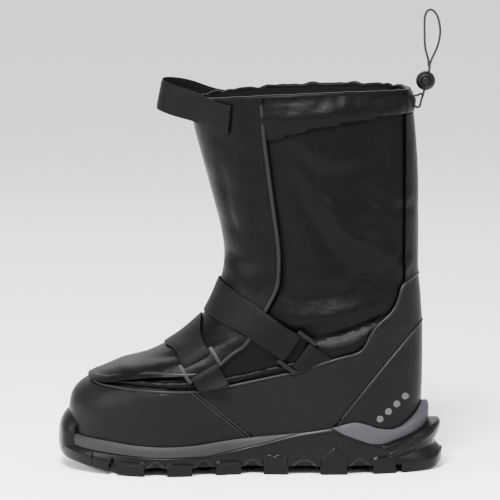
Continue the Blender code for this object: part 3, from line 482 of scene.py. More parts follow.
def sweep(name, points, facing, section, finish, slot, closed=False, ready=False):
    """A section carried along a line, its outward side turned to facing. A ready line is already even."""
    walk = np.arange(len(points)) * SWEEP_PITCH
    if closed:
        ahead = unit(np.roll(points, -1, 0) - np.roll(points, 1, 0))
    else:
        if not ready:
            points, facing, walk = even(points, facing, SWEEP_PITCH)
        ahead = unit(np.gradient(points, axis=0))
    across = unit(np.cross(ahead, facing))
    out = np.cross(across, ahead)
    out = np.where((out * facing).sum(1, keepdims=True) > 0, out, -out)
    section = np.asarray(section)
    n = section.shape[-2]
    shape = section if section.ndim == 3 else np.broadcast_to(section, (len(points), n, 2))
    rings = points[:, None] + across[:, None] * shape[..., :1] + out[:, None] * shape[..., 1:]
    obj = made(name, rings, tube_faces(len(points), n, closed), finish, slot=slot)
    lay_along(obj, np.repeat(walk, n), shape[..., 0].reshape(-1))


STITCH_PITCH, STITCH_LENGTH, STITCH_RADIUS, STITCH_SIDES = 2.9, 1.9, 0.3, 6
STITCH_SHAPE = ((-0.5, 0.0), (-0.36, 0.8), (0.0, 1.0), (0.36, 0.8), (0.5, 0.0))  # share of length, of radius


def stitches(name, points, facing):
    """A row of short stitches along a line."""
    points, facing, _ = even(points, facing, STITCH_PITCH)
    ahead = unit(np.gradient(points, axis=0))
    across = unit(np.cross(ahead, facing))
    rings, faces = [], []
    turns = 2 * np.pi * np.arange(STITCH_SIDES) / STITCH_SIDES
    for p, a, c, f in zip(points, ahead, across, facing):
        start = len(rings) * STITCH_SIDES
        for along, wide in STITCH_SHAPE:
            middle, radius = p + a * along * STITCH_LENGTH, STITCH_RADIUS * (wide + 0.05)
            rings.append([middle + radius * (c * math.cos(t) + f * math.sin(t)) for t in turns])
        one = tube_faces(len(STITCH_SHAPE), STITCH_SIDES)
        faces += [[start + corner for corner in face] for face in one]
    return made(name, rings, faces, "thread", slot="nylon")


def seat(place):
    """A buckle's frame on the outer side: along the strap, across it, and out, clear of the form."""
    (x, z), (dx, dz) = place
    centre, _ = on_form(x, z)
    reach, half = (-9.3, 0, 9.3), (-WEB / 2, 0, WEB / 2)
    spots = [on_form(x + dx * a - dz * w, z + dz * a + dx * w) for a in reach for w in half]
    out = sum((normal for _, normal in spots), Vector()).normalized()
    height = max((spot - centre).dot(out) for spot, _ in spots)
    along = Vector((dx, 0, dz))
    along = (along - out * along.dot(out)).normalized()
    side = out.cross(along)
    turned = Matrix((along, side, out)).transposed().to_4x4()
    turned.translation = centre + out * height
    return turned


def webbing(name, places, facing, thickness, node):
    """A strap from rows of places across it, each with its outward direction."""
    n, across = places.shape[:2]
    share = np.linspace(-1, 1, across)
    round_off = thickness / 2 * np.sqrt(np.clip(1 - np.abs(share) ** 10, 0.05, 1))
    top = places + facing * round_off[None, :, None]
    low = places - facing * round_off[None, :, None]
    rings = np.concatenate([top, low[:, ::-1]], 1)
    width = 2 * across
    faces = tube_faces(n, width, caps=False)
    for k in (0, n - 1):
        for i in range(across - 1):
            quad = [k * width + i, k * width + i + 1, k * width + width - 2 - i, k * width + width - 1 - i]
            faces.append(quad)
    obj = made(name, rings, faces, "webbing", node=node, slot="webbing")
    middle = places[:, across // 2]
    walk = np.concatenate([[0], np.cumsum(np.linalg.norm(np.diff(middle, axis=0), axis=1))])
    v = np.concatenate([share, share[::-1]]) * WEB / 2
    lay_along(obj, np.repeat(walk, width), np.tile(v, n))


# Side views of the webbing's folds at a buckle: along the strap from its centre, height
STRAP_FOLD = (
    (-19, 5.9), (-14, 6.1), (-10, 6.0), (-7.2, 5.7), (-5.3, 5.2), (-4.4, 4.2), (-4.3, 2.8), (-5.0, 1.7),
    (-6.6, 1.1), (-8.6, 1.0),
)
FOLD_START = 4  # points of the fold that the strap before it already covers
TAB_FOLD = (
    (24, 0.6), (15.5, 1.2), (9.5, 1.1), (5.6, 1.3), (4.4, 2.6), (4.6, 4.4), (6.2, 5.5), (9.0, 5.5),
    (11.5, 4.6), (15.5, 3.0), (21, 1.9), (30, 1.0),
)


def build_strap(name, place, centre, turn_from, turn_to, node, spread, shift, rise, fall, drop):
    """Webbing from its sewn end on the inner side, over the front, to its fold round the buckle's bar.

    It is cast from a centre, x and height, between two turns in degrees. Over the front it is spread and
    shifted, softly from rise to fall. On the inner side it drops to the panel: drop weighs x and height.
    """
    dx, dz = place[1]
    ahead = np.array((-dx, 0, -dz))
    up = np.array((dz, 0, -dx)) * (1 if -dx > 0 else -1)
    up = up if up[2] > 0 else -up
    side = np.array((0, 1.0, 0))
    widths = np.linspace(-WEB / 2, WEB / 2, ACROSS)
    frame_of = seat(place)
    across_local = np.array(frame_of.col[1])[:3]
    flip = 1 if across_local @ up > 0 else -1
    places, facing = [], []
    for turn in np.radians(np.arange(turn_to, turn_from, -2.0)):
        direction = side * math.cos(turn) + ahead * math.sin(turn)
        degrees, row, out = math.degrees(turn), [], []
        over = float(step(degrees, *rise) * (1 - step(degrees, *fall)))
        for w in widths:
            start = np.array((centre[0], 0, centre[1])) + up * (w * (1 + spread * over) + shift * over)
            hit, normal, _, _ = FORM_TREE.ray_cast(Vector(start), Vector(direction))
            normal = np.array(normal if normal.dot(Vector(direction)) > 0 else -normal)
            lift = STRAP_IN + STRAP_THICK / 2
            if hit.y < 0:
                over_flap = float(step(drop[0] * hit.x + drop[1] * hit.z, drop[2], drop[3]))
                lift -= (STRAP_IN - MEDIAL_IN) * (1 - over_flap)
            row.append(np.array(hit) + normal * lift)
            out.append(normal)
        places.append(row)
        facing.append(out)
    local = through(STRAP_FOLD, 3)
    turn = np.gradient(local, axis=0)
    for (a, h), (da, dh) in list(zip(local, turn))[FOLD_START:]:
        long = math.hypot(da, dh)
        row = [np.array(frame_of @ Vector((a, w * flip, h))) for w in widths]
        out = np.array(frame_of.to_3x3() @ Vector((-dh / long, 0, da / long)))
        places.append(row)
        facing.append([out] * ACROSS)
    webbing(name, np.array(places), np.array(facing), STRAP_THICK, node)


def build_anchor(name, place, node):
    """The short tab from the panel's edge to its fold round the buckle's second bar."""
    frame_of = seat(place)
    widths = np.linspace(-WEB / 2 + 0.2, WEB / 2 - 0.2, ACROSS)
    local = through(TAB_FOLD, 4)
    turn = np.gradient(local, axis=0)
    edge = np.array(smooth_line(PANEL_EDGE)[::-1])
    ends = []
    for w in widths:
        reach = 9.0
        while reach < 40:
            spot = frame_of @ Vector((reach, w, 0))
            if spot.z < np.interp(spot.x, edge[:, 0], edge[:, 1]):
                break
            reach += 0.25
        ends.append(reach)
    places, facing = [], []
    for (a, h), (da, dh) in zip(local, turn):
        long = math.hypot(da, dh)
        places.append([np.array(frame_of @ Vector((min(a, end), w, h))) for w, end in zip(widths, ends)])
        out = np.array(frame_of.to_3x3() @ Vector((-dh / long, 0, da / long)))
        facing.append([out] * ACROSS)
    webbing(name, np.array(places), np.array(facing), TAB_THICK, node)


def build_buckle(name, node):
    """The moulded buckle with rounded edges."""
    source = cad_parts[node]
    obj = bpy.data.objects.new(name, source.data.copy())
    bpy.context.scene.collection.objects.link(obj)
    bm = bmesh.new()
    bm.from_mesh(obj.data)
    bmesh.ops.remove_doubles(bm, verts=bm.verts, dist=1e-6)
    bmesh.ops.dissolve_limit(bm, angle_limit=0.02, verts=bm.verts, edges=bm.edges)
    bm.to_mesh(obj.data)
    bm.free()
    obj.data.materials.clear()
    obj.data.materials.append(FINISH["plastic"])
    applied(obj, "BEVEL", width=0.0009, segments=4, limit_method="ANGLE", angle_limit=math.radians(40))
    dressed(obj, node, "plastic")


LOOP_START, LOOP_ROOT = (15.0, 299.5), (28.0, 303.0)
LOOP_FREE = (
    (45, 29.5, 307.5), (60, 21, 311.5), (72, 11, 315.0), (76.5, 0.5, 317.0), (73, -9.5, 318.0),
    (61, -18.5, 316.5), (46, -27.5, 312.0),
)


def build_pull_loop():
    """The webbing loop from the flap's outer side round the front to its inner side."""
    path = []
    for side in (1, -1):
        ends = []
        for x, z in (LOOP_START, LOOP_ROOT):
            spot, _ = on_form(x, z if side > 0 else z + 4, side, FLAP_OUT + GAP + STRAP_THICK / 2 + 0.5)
            ends.append(tuple(spot))
        path = path + ends + list(LOOP_FREE) if side > 0 else path + ends[::-1]
    line = through(path, 6)
    ahead = unit(np.gradient(line, axis=0))
    places, facing = [], []
    for p, a in zip(line, ahead):
        spot, face, _, _ = FORM_TREE.find_nearest(Vector(p))
        face = np.array(face) if face.dot(Vector(p) - spot) > 0 else -np.array(face)
        free = min(1.0, max(0.0, ((Vector(p) - spot).length - 7) / 12))
        up = (np.array((0, 0, 1)) - face * face[2]) * (1 - free) + np.array((-0.2, 0, 1)) * free
        up = unit(up - a * (up @ a))
        out = unit(np.cross(a, up))
        if out @ (p - np.array((0, 0, p[2]))) < 0:
            out = -out
        places.append([p + up * w for w in np.linspace(-WEB / 2, WEB / 2, ACROSS)])
        facing.append([out] * ACROSS)
    webbing("pull_loop_webbing", np.array(places), np.array(facing), STRAP_THICK, "pull_loop")


CORD = 2.0
EYELET = (14.6, 314.4)
STRAND_A = ((-140.2, 13.4, 316.9), (-142.8, 12.6, 317.8), (-145.2, 11.6, 319.9))
STRAND_B = (
    (-137.4, 15.3, 308.6), (-140.2, 14.6, 306.8), (-142.2, 13.0, 308.8), (-143.3, 10.6, 313.2),
    (-144.8, 8.9, 316.6), (-145.4, 8.6, 319.9),
)
CORD_LOOP = (
    (-149.6, 8.7, 337.3), (-149.3, 8.8, 341.0), (-148.9, 9.0, 346.0), (-147.0, 9.6, 352.7),
    (-145.8, 10.0, 361.1), (-145.6, 10.0, 371.1), (-145.6, 10.0, 379.5), (-146.9, 10.0, 385.6),
    (-150.4, 10.0, 388.2), (-154.6, 10.0, 385.6), (-157.6, 10.0, 378.7), (-158.7, 10.0, 370.3),
    (-157.9, 10.0, 362.8), (-155.6, 10.2, 355.2), (-152.5, 10.7, 348.6), (-150.6, 11.2, 344.0),
    (-149.9, 11.3, 340.6), (-149.6, 11.3, 337.3),
)
LOCK_CENTRE = (-146.7, 10.0, 328.7)
LOCK_SIDES = 48
LOCK_PROFILE = (  # radius, place along the lock's axis, which is +Y
    (0, -6.8), (3.2, -6.6), (6.0, -5.2), (7.8, -2.6), (8.2, 0), (7.8, 2.8), (6.4, 5.2), (5.2, 6.2),
    (4.6, 6.3), (4.3, 5.9), (4.1, 5.0), (3.7, 4.8), (3.3, 5.1), (1.8, 5.4), (0, 5.5),
)


def eyelet(rise):
    """Two points of the cord in the eyelet, and the way out, some way over its middle."""
    y, z = EYELET
    spot, out, _, _ = FORM_TREE.ray_cast(Vector((-FAR, y, z + rise)), Vector((1, 0, 0)))
    out = out if out.x < 0 else -out
    return [tuple(spot + out * 2.3), tuple(spot + out * 5.7)], out


def build_drawcord():
    """One elastic cord out of the eyelet, through the lock, up into a loop and back, and its lock."""
    first, out = eyelet(0.6 * CORD)
    last, _ = eyelet(-0.6 * CORD)
    route = first + list(STRAND_A) + list(CORD_LOOP[::-1]) + list(STRAND_B[::-1]) + last[::-1]
    line = through(route, 6)
    curve = bpy.data.curves.new("drawcord", "CURVE")
    curve.dimensions = "3D"
    curve.bevel_depth = CORD / 2 * MM
    curve.bevel_resolution = 4
    curve.use_fill_caps = True
    row = curve.splines.new("POLY")
    row.points.add(len(line) - 1)
    for point, place in zip(row.points, line):
        point.co = (*(place * MM), 1)
    curve.materials.append(FINISH["cord"])
    cord = bpy.data.objects.new("drawcord", curve)
    bpy.context.scene.collection.objects.link(cord)
    profile = through(LOCK_PROFILE, 3)
    turns = 2 * np.pi * np.arange(LOCK_SIDES) / LOCK_SIDES
    rings = [[(r * math.cos(a), y, r * math.sin(a)) for a in turns] for r, y in profile[1:-1]]
    points = np.array(rings).reshape(-1, 3) + np.array(LOCK_CENTRE)
    faces = tube_faces(len(rings), LOCK_SIDES)
    lock = made("cord_lock_body", points, faces, "plastic", node="cord_lock", slot="plastic")
    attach(cord, "root")
    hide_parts("drawcord_strand_a", "drawcord_strand_b", "drawcord_loop")
    centre, out = eyelet(0)
    spot = np.array(centre[0]) - np.array(out) * 0.4
    side = unit(np.cross(out, (0, 0, 1)))
    up = np.cross(side, np.array(out))
    ring = [spot + (side * math.cos(t) + up * math.sin(t)) * 3.3 for t in turns]
    sweep("eyelet_ring", np.array(ring), np.array([tuple(out)] * LOCK_SIDES), oval(1.8, 1.6), "metal",
          "plastic", closed=True)


def smooth(table, x):
    """A smooth curve through a table's rows that never overshoots them."""
    xs, ys = (np.array([row[k] for row in table], float) for k in (0, 1))
    width = np.diff(xs)
    rise = np.diff(ys) / width
    slope = np.empty_like(ys)
    slope[0], slope[-1] = rise[0], rise[-1]
    for i in range(1, len(xs) - 1):
        a, b = rise[i - 1], rise[i]
        slope[i] = 0.0 if a * b <= 0 else 2 * a * b / (a + b)
    x = np.clip(np.asarray(x, float), xs[0], xs[-1])
    i = np.clip(np.searchsorted(xs, x, side="right") - 1, 0, len(xs) - 2)
    t = (x - xs[i]) / width[i]
    return (
        ys[i] * (1 + 2 * t) * (1 - t) ** 2
        + slope[i] * width[i] * t * (1 - t) ** 2
        + ys[i + 1] * t * t * (3 - 2 * t)
        + slope[i + 1] * width[i] * t * t * (t - 1)
    )


# The sole, in the part's own sizes
SOLE_TOP = (  # x on the feather line, height
    (-143, 57), (-139, 50), (-132, 43.5), (-125, 39), (-117, 37.2), (-107, 38.6), (-96, 42.6), (-87, 44.6),
    (-78, 43), (-67, 40), (-43, 36.4), (-14, 33.6), (24, 29.3), (47, 26.5), (71, 25.6), (94, 26.6),
    (118, 29), (141, 31), (154, 33),
)
WALL_TOP = (  # x on the feather line, height
    (-143, 42), (-137, 36), (-128, 31.6), (-118, 28.2), (-108, 25.5), (-102, 25.8), (-92, 29), (-78, 34.7),
    (-67, 39.6), (-55, 38.0), (-43, 36.1), (-8, 27.1), (24, 19.9), (41, 17), (71, 16.8), (106, 18.6),
    (130, 20.3), (140, 21.3), (154, 23.5),
)
GROUND = (  # x, height of the tread's underside
    (-166, 12), (-161, 6), (-154, 1.6), (-140, 0.5), (-126, 0), (98, 0), (112, 1.2), (128, 4.2), (143, 7.4),
    (155, 10.0), (161, 12.5), (166, 15),
)
LUGS = (  # x from, x to, half the width of the channel between the two rows
    (-170, -127, 0), (-122, -103, 9), (-81, -58.5, 9), (-31.5, -11, 11), (8, 29, 11), (49, 70, 12),
    (89, 113, 12), (119, 133, 9), (133.5, 175, 0),
)
CENTRE_LUGS = (  # x from, x to, half width
    (-99, -85, 17), (-53, -37, 17), (-5, 3, 19), (33, 45, 22), (74, 85, 22),
)
SIDE_PADS = (  # side-view outlines of the raised faces on the outsole's side
    ((-31, 2), (-31, 15), (-28, 16.5), (-14, 16.5), (-11, 15), (-11, 2)),
    ((-81, 2), (-81, 14), (-70, 23), (-59, 14), (-59, 2)),
    ((-122, 2), (-122, 13), (-119, 15), (-106, 15), (-103, 13), (-103, 2)),
    ((8, 2), (8, 11), (11, 12.5), (26, 12.5), (29, 11), (29, 2)),
    ((49, 2), (49, 10), (52, 11.5), (67, 11.5), (70, 10), (70, 2)),
    ((89, 3), (89, 11), (92, 12.5), (110, 13), (113, 12), (113, 3)),
)
HEEL_RIBS = (
    ((-112, 20), (-134, 28), (-150, 40), (-152, 44.5), (-148, 44.5), (-133, 33.5), (-112, 25)),
    ((-116, 12), (-138, 19), (-154, 31), (-156, 36), (-152, 36), (-137, 25), (-116, 17.5)),
)
BUMPER = (  # distance out and height of the rubber that stands up in front of the toe
    (5.3, 17), (9.6, 14.5), (11.0, 21), (10.7, 31), (9.2, 38.5), (5.6, 45), (3.4, 47), (2.3, 46.3),
    (2.3, 34.6), (5.3, 34.6),
)
TREAD_DEPTH = 7.5
TREAD = (  # reach at the back, the front and the side, height over the ground, up to the web
    (18.6, 9.0, 3.4, 0.0), (19.2, 9.6, 4.1, 0.5), (19.4, 9.9, 4.5, 1.3), (19.8, 10.4, 5.2, TREAD_DEPTH + 1.5),
)
WALL_STEPS = 29  # rings up the outsole's side
WALL_LIP = 0.6  # under the wall's top
BUMPER_REACH = 50  # columns of the foot line each side of the toe
FOOTBED = (  # x, height under the insole
    (-143, 28), (-100, 27), (-40, 25.5), (20, 21.0), (60, 18.8), (100, 19.3), (130, 22.5), (154, 27),
)
OUTSOLE_SIDE = (  # share of the height from the web to the wall's top, back, front, side
    (0.0, 20.0, 9.8, 4.4),
    (0.2, 17.0, 9.4, 5.2),
    (0.42, 13.6, 8.6, 5.4),
    (0.65, 16.8, 7.6, 5.2),
    (0.87, 18.4, 6.4, 4.9),
    (1.0, 17.4, 5.4, 4.6),
)

CUP, MIDSOLE_CORE, MIDSOLE_CUP, INSOLE_EDGE = (1.9,) * 3, (1.6,) * 3, (-2.2,) * 3, (-2.6,) * 3  # reach

FOOT = spline(FORM[0], 4, True)
FOOT_AHEAD = np.roll(FOOT, -1, 0) - np.roll(FOOT, 1, 0)
FOOT_OUT = unit(np.stack([-FOOT_AHEAD[:, 1], FOOT_AHEAD[:, 0], np.zeros(len(FOOT))], 1))


def sole_ring(reach, height, extra=0.0):
    """A ring of the sole, grown from the line where the upper meets it."""
    back, front, side = reach
    share = np.abs(FOOT_OUT[:, 0]) ** 1.5
    ends = np.where(FOOT_OUT[:, 0] < 0, back, front)
    grow = side + (ends - side) * share + extra
    ring = FOOT + FOOT_OUT * np.asarray(grow)[:, None]
    ring[:, 2] = height(FOOT[:, 0], ring[:, 0])
    return ring


def skin(name, rings, finish, **what):
    """A closed piece through rings, with both ends capped from side to side."""
    rows, n = len(rings), len(FOOT)
    faces = grid_faces(rows, n)
    for start, turned in ((0, False), ((rows - 1) * n, True)):
        for i in range(n // 2):
            corners = list(dict.fromkeys([i, i + 1, (n - i - 1) % n, (n - i) % n]))
            faces.append([start + c for c in (corners[::-1] if turned else corners)])
    return made(name, np.concatenate(rings), faces, finish, **what)


def web_height(x):
    """The web between the lugs."""
    return smooth(GROUND, x) + TREAD_DEPTH


def wall_height(fx):
    """Top of the rubber wall."""
    return smooth(WALL_TOP, fx)


def top_height(fx):
    """Top of the sole, where the upper starts."""
    return smooth(SOLE_TOP, fx)


def rounded_block(low, high, radius):
    """A block with rounded upright edges."""
    bm = bmesh.new()
    bmesh.ops.create_cube(bm, size=1)
    size = [b - a for a, b in zip(low, high)]
    middle = [(a + b) / 2 for a, b in zip(low, high)]
    bmesh.ops.scale(bm, vec=size, verts=bm.verts)
    bmesh.ops.translate(bm, vec=middle, verts=bm.verts)
    upright = [e for e in bm.edges if abs(e.verts[0].co.z - e.verts[1].co.z) > 1]
    bmesh.ops.bevel(bm, geom=upright, offset=radius, segments=3, affect="EDGES", profile=0.5)
    bmesh.ops.scale(bm, vec=(MM, MM, MM), verts=bm.verts)
    mesh = bpy.data.meshes.new("block")
    bm.to_mesh(mesh)
    bm.free()
    return mesh


def lug_tool():
    """Blocks that leave the tread standing where the lugs are."""
    bm = bmesh.new()
    for x_from, x_to, channel in LUGS:
        for y_from, y_to in (((-FAR, -channel), (channel, FAR)) if channel else ((-FAR, FAR),)):
            bm.from_mesh(rounded_block((x_from, y_from, -FAR), (x_to, y_to, FAR), 1.6))
    for x_from, x_to, half in CENTRE_LUGS:
        bm.from_mesh(rounded_block((x_from, -half, -FAR), (x_to, half, FAR), 2.4))
    mesh = bpy.data.meshes.new("lugs")
    bm.to_mesh(mesh)
    bm.free()
    obj = bpy.data.objects.new("lugs", mesh)
    bpy.context.scene.collection.objects.link(obj)
    return obj


def inside(x, z, outline):
    """Distance inside a side-view outline, negative outside it."""
    corners = np.array(outline, float)
    flat = np.stack([x, z], 1)
    within, near = np.zeros(len(x), bool), np.full(len(x), np.inf)
    for a, b in zip(corners, np.roll(corners, -1, 0)):
        t = np.clip((flat - a) @ (b - a) / ((b - a) @ (b - a)), 0, 1)
        near = np.minimum(near, np.linalg.norm(flat - a - t[:, None] * (b - a), axis=1))
        crosses = (a[1] > z) != (b[1] > z)
        at = a[0] + (z - a[1]) / (b[1] - a[1] if b[1] != a[1] else 1) * (b[0] - a[0])
        within ^= crosses & (x < at)
    return np.where(within, near, -near)


def side_relief(x, z):
    """Raised pads and ribs on the outsole's side, and the arched recesses between its lugs."""
    raised = np.zeros(len(x))
    for outline in SIDE_PADS:
        away = inside(x, z, outline)
        raised = np.maximum(raised, 1.6 * step(away, -0.4, 0.6) - 0.6 * step(away, 2.6, 3.4))
    for outline in HEEL_RIBS:
        raised = np.maximum(raised, 2.0 * step(inside(x, z, outline), -0.6, 1.4))
    for (_, x_from, _), (x_to, _, _) in zip(LUGS[1:], LUGS[2:]):
        middle, half = (x_from + x_to) / 2, (x_to - x_from) / 2
        rise = z - smooth(GROUND, x)
        arch = 1 - np.hypot((x - middle) / (half - 1), rise / 13.5)
        raised = raised - 3.2 * step(arch, -0.05, 0.2)
    return raised


def build_outsole():
    """The rubber cup with its raised side, its lugs and the toe bumper in one piece."""
    rows = np.array(OUTSOLE_SIDE)
    rings = []
    for share in np.linspace(0, 1, WALL_STEPS):
        reach = [float(smooth(rows[:, (0, k)], share)) for k in (1, 2, 3)]
        soften = -0.9 * max(0.0, (share - 0.9) / 0.1) ** 2

        def height(fx, x, share=share):
            return web_height(x) + share * (wall_height(fx) - WALL_LIP - web_height(x))

        ring = sole_ring(reach, height, soften)
        fade = 1 - float(step(share, 0.9, 1.0))
        rings.append(ring + FOOT_OUT * (side_relief(ring[:, 0], ring[:, 2]) * fade)[:, None])
    rings.append(sole_ring(CUP, lambda fx, x: wall_height(fx) - WALL_LIP))
    rings.append(sole_ring(CUP, lambda fx, x: web_height(x) + 4.3))
    obj = skin("outsole_rubber", rings, "rubber", node="outsole", slot="rubber")
    tread = [sole_ring(reach, lambda fx, x, up=up: smooth(GROUND, x) + up) for *reach, up in TREAD]
    tread = skin("tread", tread, None)
    cut(tread, lug_tool())
    cut(obj, tread, "UNION")
    cut(obj, toe_bumper(), "UNION")
    dressed(obj)


def toe_bumper():
    """The rubber that stands up in front of the toe."""
    middle, reach = len(FOOT) // 2, BUMPER_REACH
    section = through(BUMPER + BUMPER[:1], 3)[:-1]
    rings = []
    for i in range(middle - reach, middle + reach + 1, 2):
        p, out = FOOT[i], FOOT_OUT[i]
        share = abs(i - middle) / reach
        fade = 1 - 0.2 * share**2 - 0.75 * max(0.0, (share - 0.55) / 0.45) ** 2
        grow = np.where(section[:, 0] > 4.6, 4.6 + (section[:, 0] - 4.6) * fade, section[:, 0])
        ring = p + out * grow[:, None]
        ring[:, 2] = section[:, 1] - 9 * max(0.0, (share - 0.3) / 0.7) ** 2 * step(section[:, 1], 20, 46)
        rings.append(ring)
    return made("bumper", np.concatenate(rings), tube_faces(len(rings), len(section)), None)


def build_midsole():
    """The foam that shows over the rubber wall, and the insole in it."""
    show = step(top_height(FOOT[:, 0]) - wall_height(FOOT[:, 0]), 0.6, 2.6)

    def band(height, soften):
        shown = sole_ring((8.0, 4.8, 4.4), height, soften)
        hidden = sole_ring(MIDSOLE_CORE, height)
        return hidden + (shown - hidden) * show[:, None]

    def under(fx, x):
        return np.minimum(wall_height(fx) - 0.4, top_height(fx) - 1.0)

    def over(fx, x):
        return top_height(fx) - 0.5

    rings = [
        sole_ring(MIDSOLE_CORE, lambda fx, x: web_height(x) + 4.6),
        sole_ring(MIDSOLE_CORE, under),
        band(under, 0.0),
        band(lambda fx, x: under(fx, x) * 0.5 + over(fx, x) * 0.5, 0.5),
        band(lambda fx, x: under(fx, x) * 0.12 + over(fx, x) * 0.88, 0.0),
        band(over, -0.9),
        sole_ring(MIDSOLE_CUP, over),
        sole_ring(MIDSOLE_CUP, lambda fx, x: smooth(FOOTBED, fx) - 0.3),
    ]
    skin("midsole_foam", rings, "foam", node="midsole", slot="foam")
    skin("insole_bed", [
        sole_ring(INSOLE_EDGE, lambda fx, x: smooth(FOOTBED, fx)),
        sole_ring(INSOLE_EDGE, lambda fx, x: smooth(FOOTBED, fx) + 4.0),
        sole_ring(INSOLE_EDGE, lambda fx, x: smooth(FOOTBED, fx) + 5.0, -1.2),
    ], "felt", node="insole", slot="footbed")


def build_trims():
    """Pipings, bindings, seams and stitches."""
    edge = [p for p in PANEL_EDGE if p[0] < 149]
    for name, line, lift, side, section, slot in (
        ("panel_piping", edge, PIPING_LIFT, 1, (2.6, 2.2), "coated"),
        ("panel_piping_inner", edge, PIPING_LIFT, -1, (2.6, 2.2), "coated"),
        ("flap_binding", FLAP_LATERAL[:-2], 3.9, 1, (3.6, 3.0), "nylon"),
        ("flap_binding_inner", FLAP_MEDIAL[:-2], 3.4, -1, (2.4, 3.4), "nylon"),
        ("counter_piping", COUNTER_SEAM, PIPING_LIFT, 1, (2.4, 2.0), "coated"),
        ("counter_piping_inner", COUNTER_SEAM, PIPING_LIFT, -1, (2.4, 2.0), "coated"),
    ):
        sweep(name, *trace(line, lift, side), oval(*section), "edging", slot)
    for offset in (0, 4.2):
        seam = ((46 + offset, 70.6), (23 + offset, 51), (1 + offset, 32))
        for side in (1, -1):
            name = f"rand_piping_{offset > 0}_{side}"
            sweep(name, *trace(seam, PIPING_LIFT, side), oval(2.0, 1.6), "edging", "coated")
    rim = FORM[-1]
    turn = np.arange(COLUMNS) * 2 * np.pi / COLUMNS
    bumps = 0.45 * np.sin(29 * turn) + 0.5 * np.sin(17 * turn + 1) + 0.3 * np.sin(43 * turn + 2)
    rim = rim + np.array((0, 0, 1)) * (bumps * (0.2 + 0.8 * step(-rim[:, 1], -20, 20)))[:, None]
    rim = rim + NORMAL[-1] * 0.2 + np.array((0, 0, -0.6))
    sweep("collar_rim", rim, NORMAL[-1], oval(4.4, 4.8), "nylon", "nylon", closed=True)
    for side in (1, -1):
        seam = [(x, z - STITCH_INSET) for x, z in COLLAR_SEAM[1:-1]]
        stitches(f"collar_stitch_{side}", *trace(seam, 1.4, side))
    for side in (1, -1):
        line = [(x + STITCH_INSET, z) for x, z in (FLAP_LATERAL if side > 0 else FLAP_MEDIAL)[:10]]
        stitches(f"flap_stitch_{side}", *trace(line, FLAP_OUT + 0.2, side))


PLEAT = (
    (-46, 95), (-24, 90), (-4, 85), (18, 80.5), (50, 77), (84, 77), (106, 77.6), (124, 76.4), (136, 75),
)


def build_pleat():
    """The gathered pleat of nylon between the flap's edge and the rand's piping."""
    for side in (1, -1):
        places, facing, walk = even(*trace(PLEAT, 1.2, side, 8), 1.2)
        pull = 0.30 * np.sin(walk * 0.45) + 0.25 * np.sin(walk * 0.23 + 1)
        section = oval(5.4, 3.4, 12)[None] * (1 + 0.22 * pull)[:, None, None]
        name = f"vamp_pleat_{'outer' if side > 0 else 'inner'}"
        places = places + facing * pull[:, None] * 0.5
        sweep(name, places, facing, section, "nylon", "nylon", ready=True)


SPOTS = ((-108, 46), (-115, 52), (-122, 58), (-129, 64))
SPOT_PROFILE = ((2.9, 1.5), (2.9, 2.15), (2.5, 2.45), (0.2, 2.5))  # radius, height over the form
SPOT_SIDES = 24


def build_reflector():
    """A slanted row of small round reflective spots on the heel counter."""
    turns = 2 * np.pi * np.arange(SPOT_SIDES) / SPOT_SIDES
    for side in (1, -1):
        for number, (x, z) in enumerate(SPOTS):
            rings = []
            for radius, lift in SPOT_PROFILE:
                circle = [(x + radius * math.cos(t), z + radius * math.sin(t)) for t in turns]
                rings.append([tuple(on_form(*spot, side, lift)[0]) for spot in circle])
            name = f"reflector_{number}_{'outer' if side > 0 else 'inner'}"
            made(name, rings, tube_faces(len(rings), SPOT_SIDES), "reflective", slot="coated")


def shader(name, colour, rough, **more):
    """A finish with its colour, roughness and other shader settings."""
    material = bpy.data.materials.new(name)
    material.use_nodes = True
    node = material.node_tree.nodes["Principled BSDF"]
    node.inputs["Base Color"].default_value = (*colour, 1)
    node.inputs["Roughness"].default_value = rough
    for key, value in more.items():
        node.inputs[key.replace("_", " ")].default_value = value
    FINISH[name] = material


def add(tree, kind, **values):
    node = tree.nodes.new(kind)
    for key, value in values.items():
        setattr(node, key, value)
    return node


def waves(tree, where, bands):
    """The sum of straight waves, each with its axis and scale."""
    height = None
    for axis, scale in bands:
        tex = add(tree, "ShaderNodeTexWave", wave_type="BANDS", bands_direction=axis)
        tex.inputs["Scale"].default_value = scale
        tree.links.new(where, tex.inputs["Vector"])
        if height is None:
            height = tex.outputs["Fac"]
            continue
        total = add(tree, "ShaderNodeMath", operation="ADD")
        tree.links.new(height, total.inputs[0])
        tree.links.new(tex.outputs["Fac"], total.inputs[1])
        height = total.outputs[0]
    return height


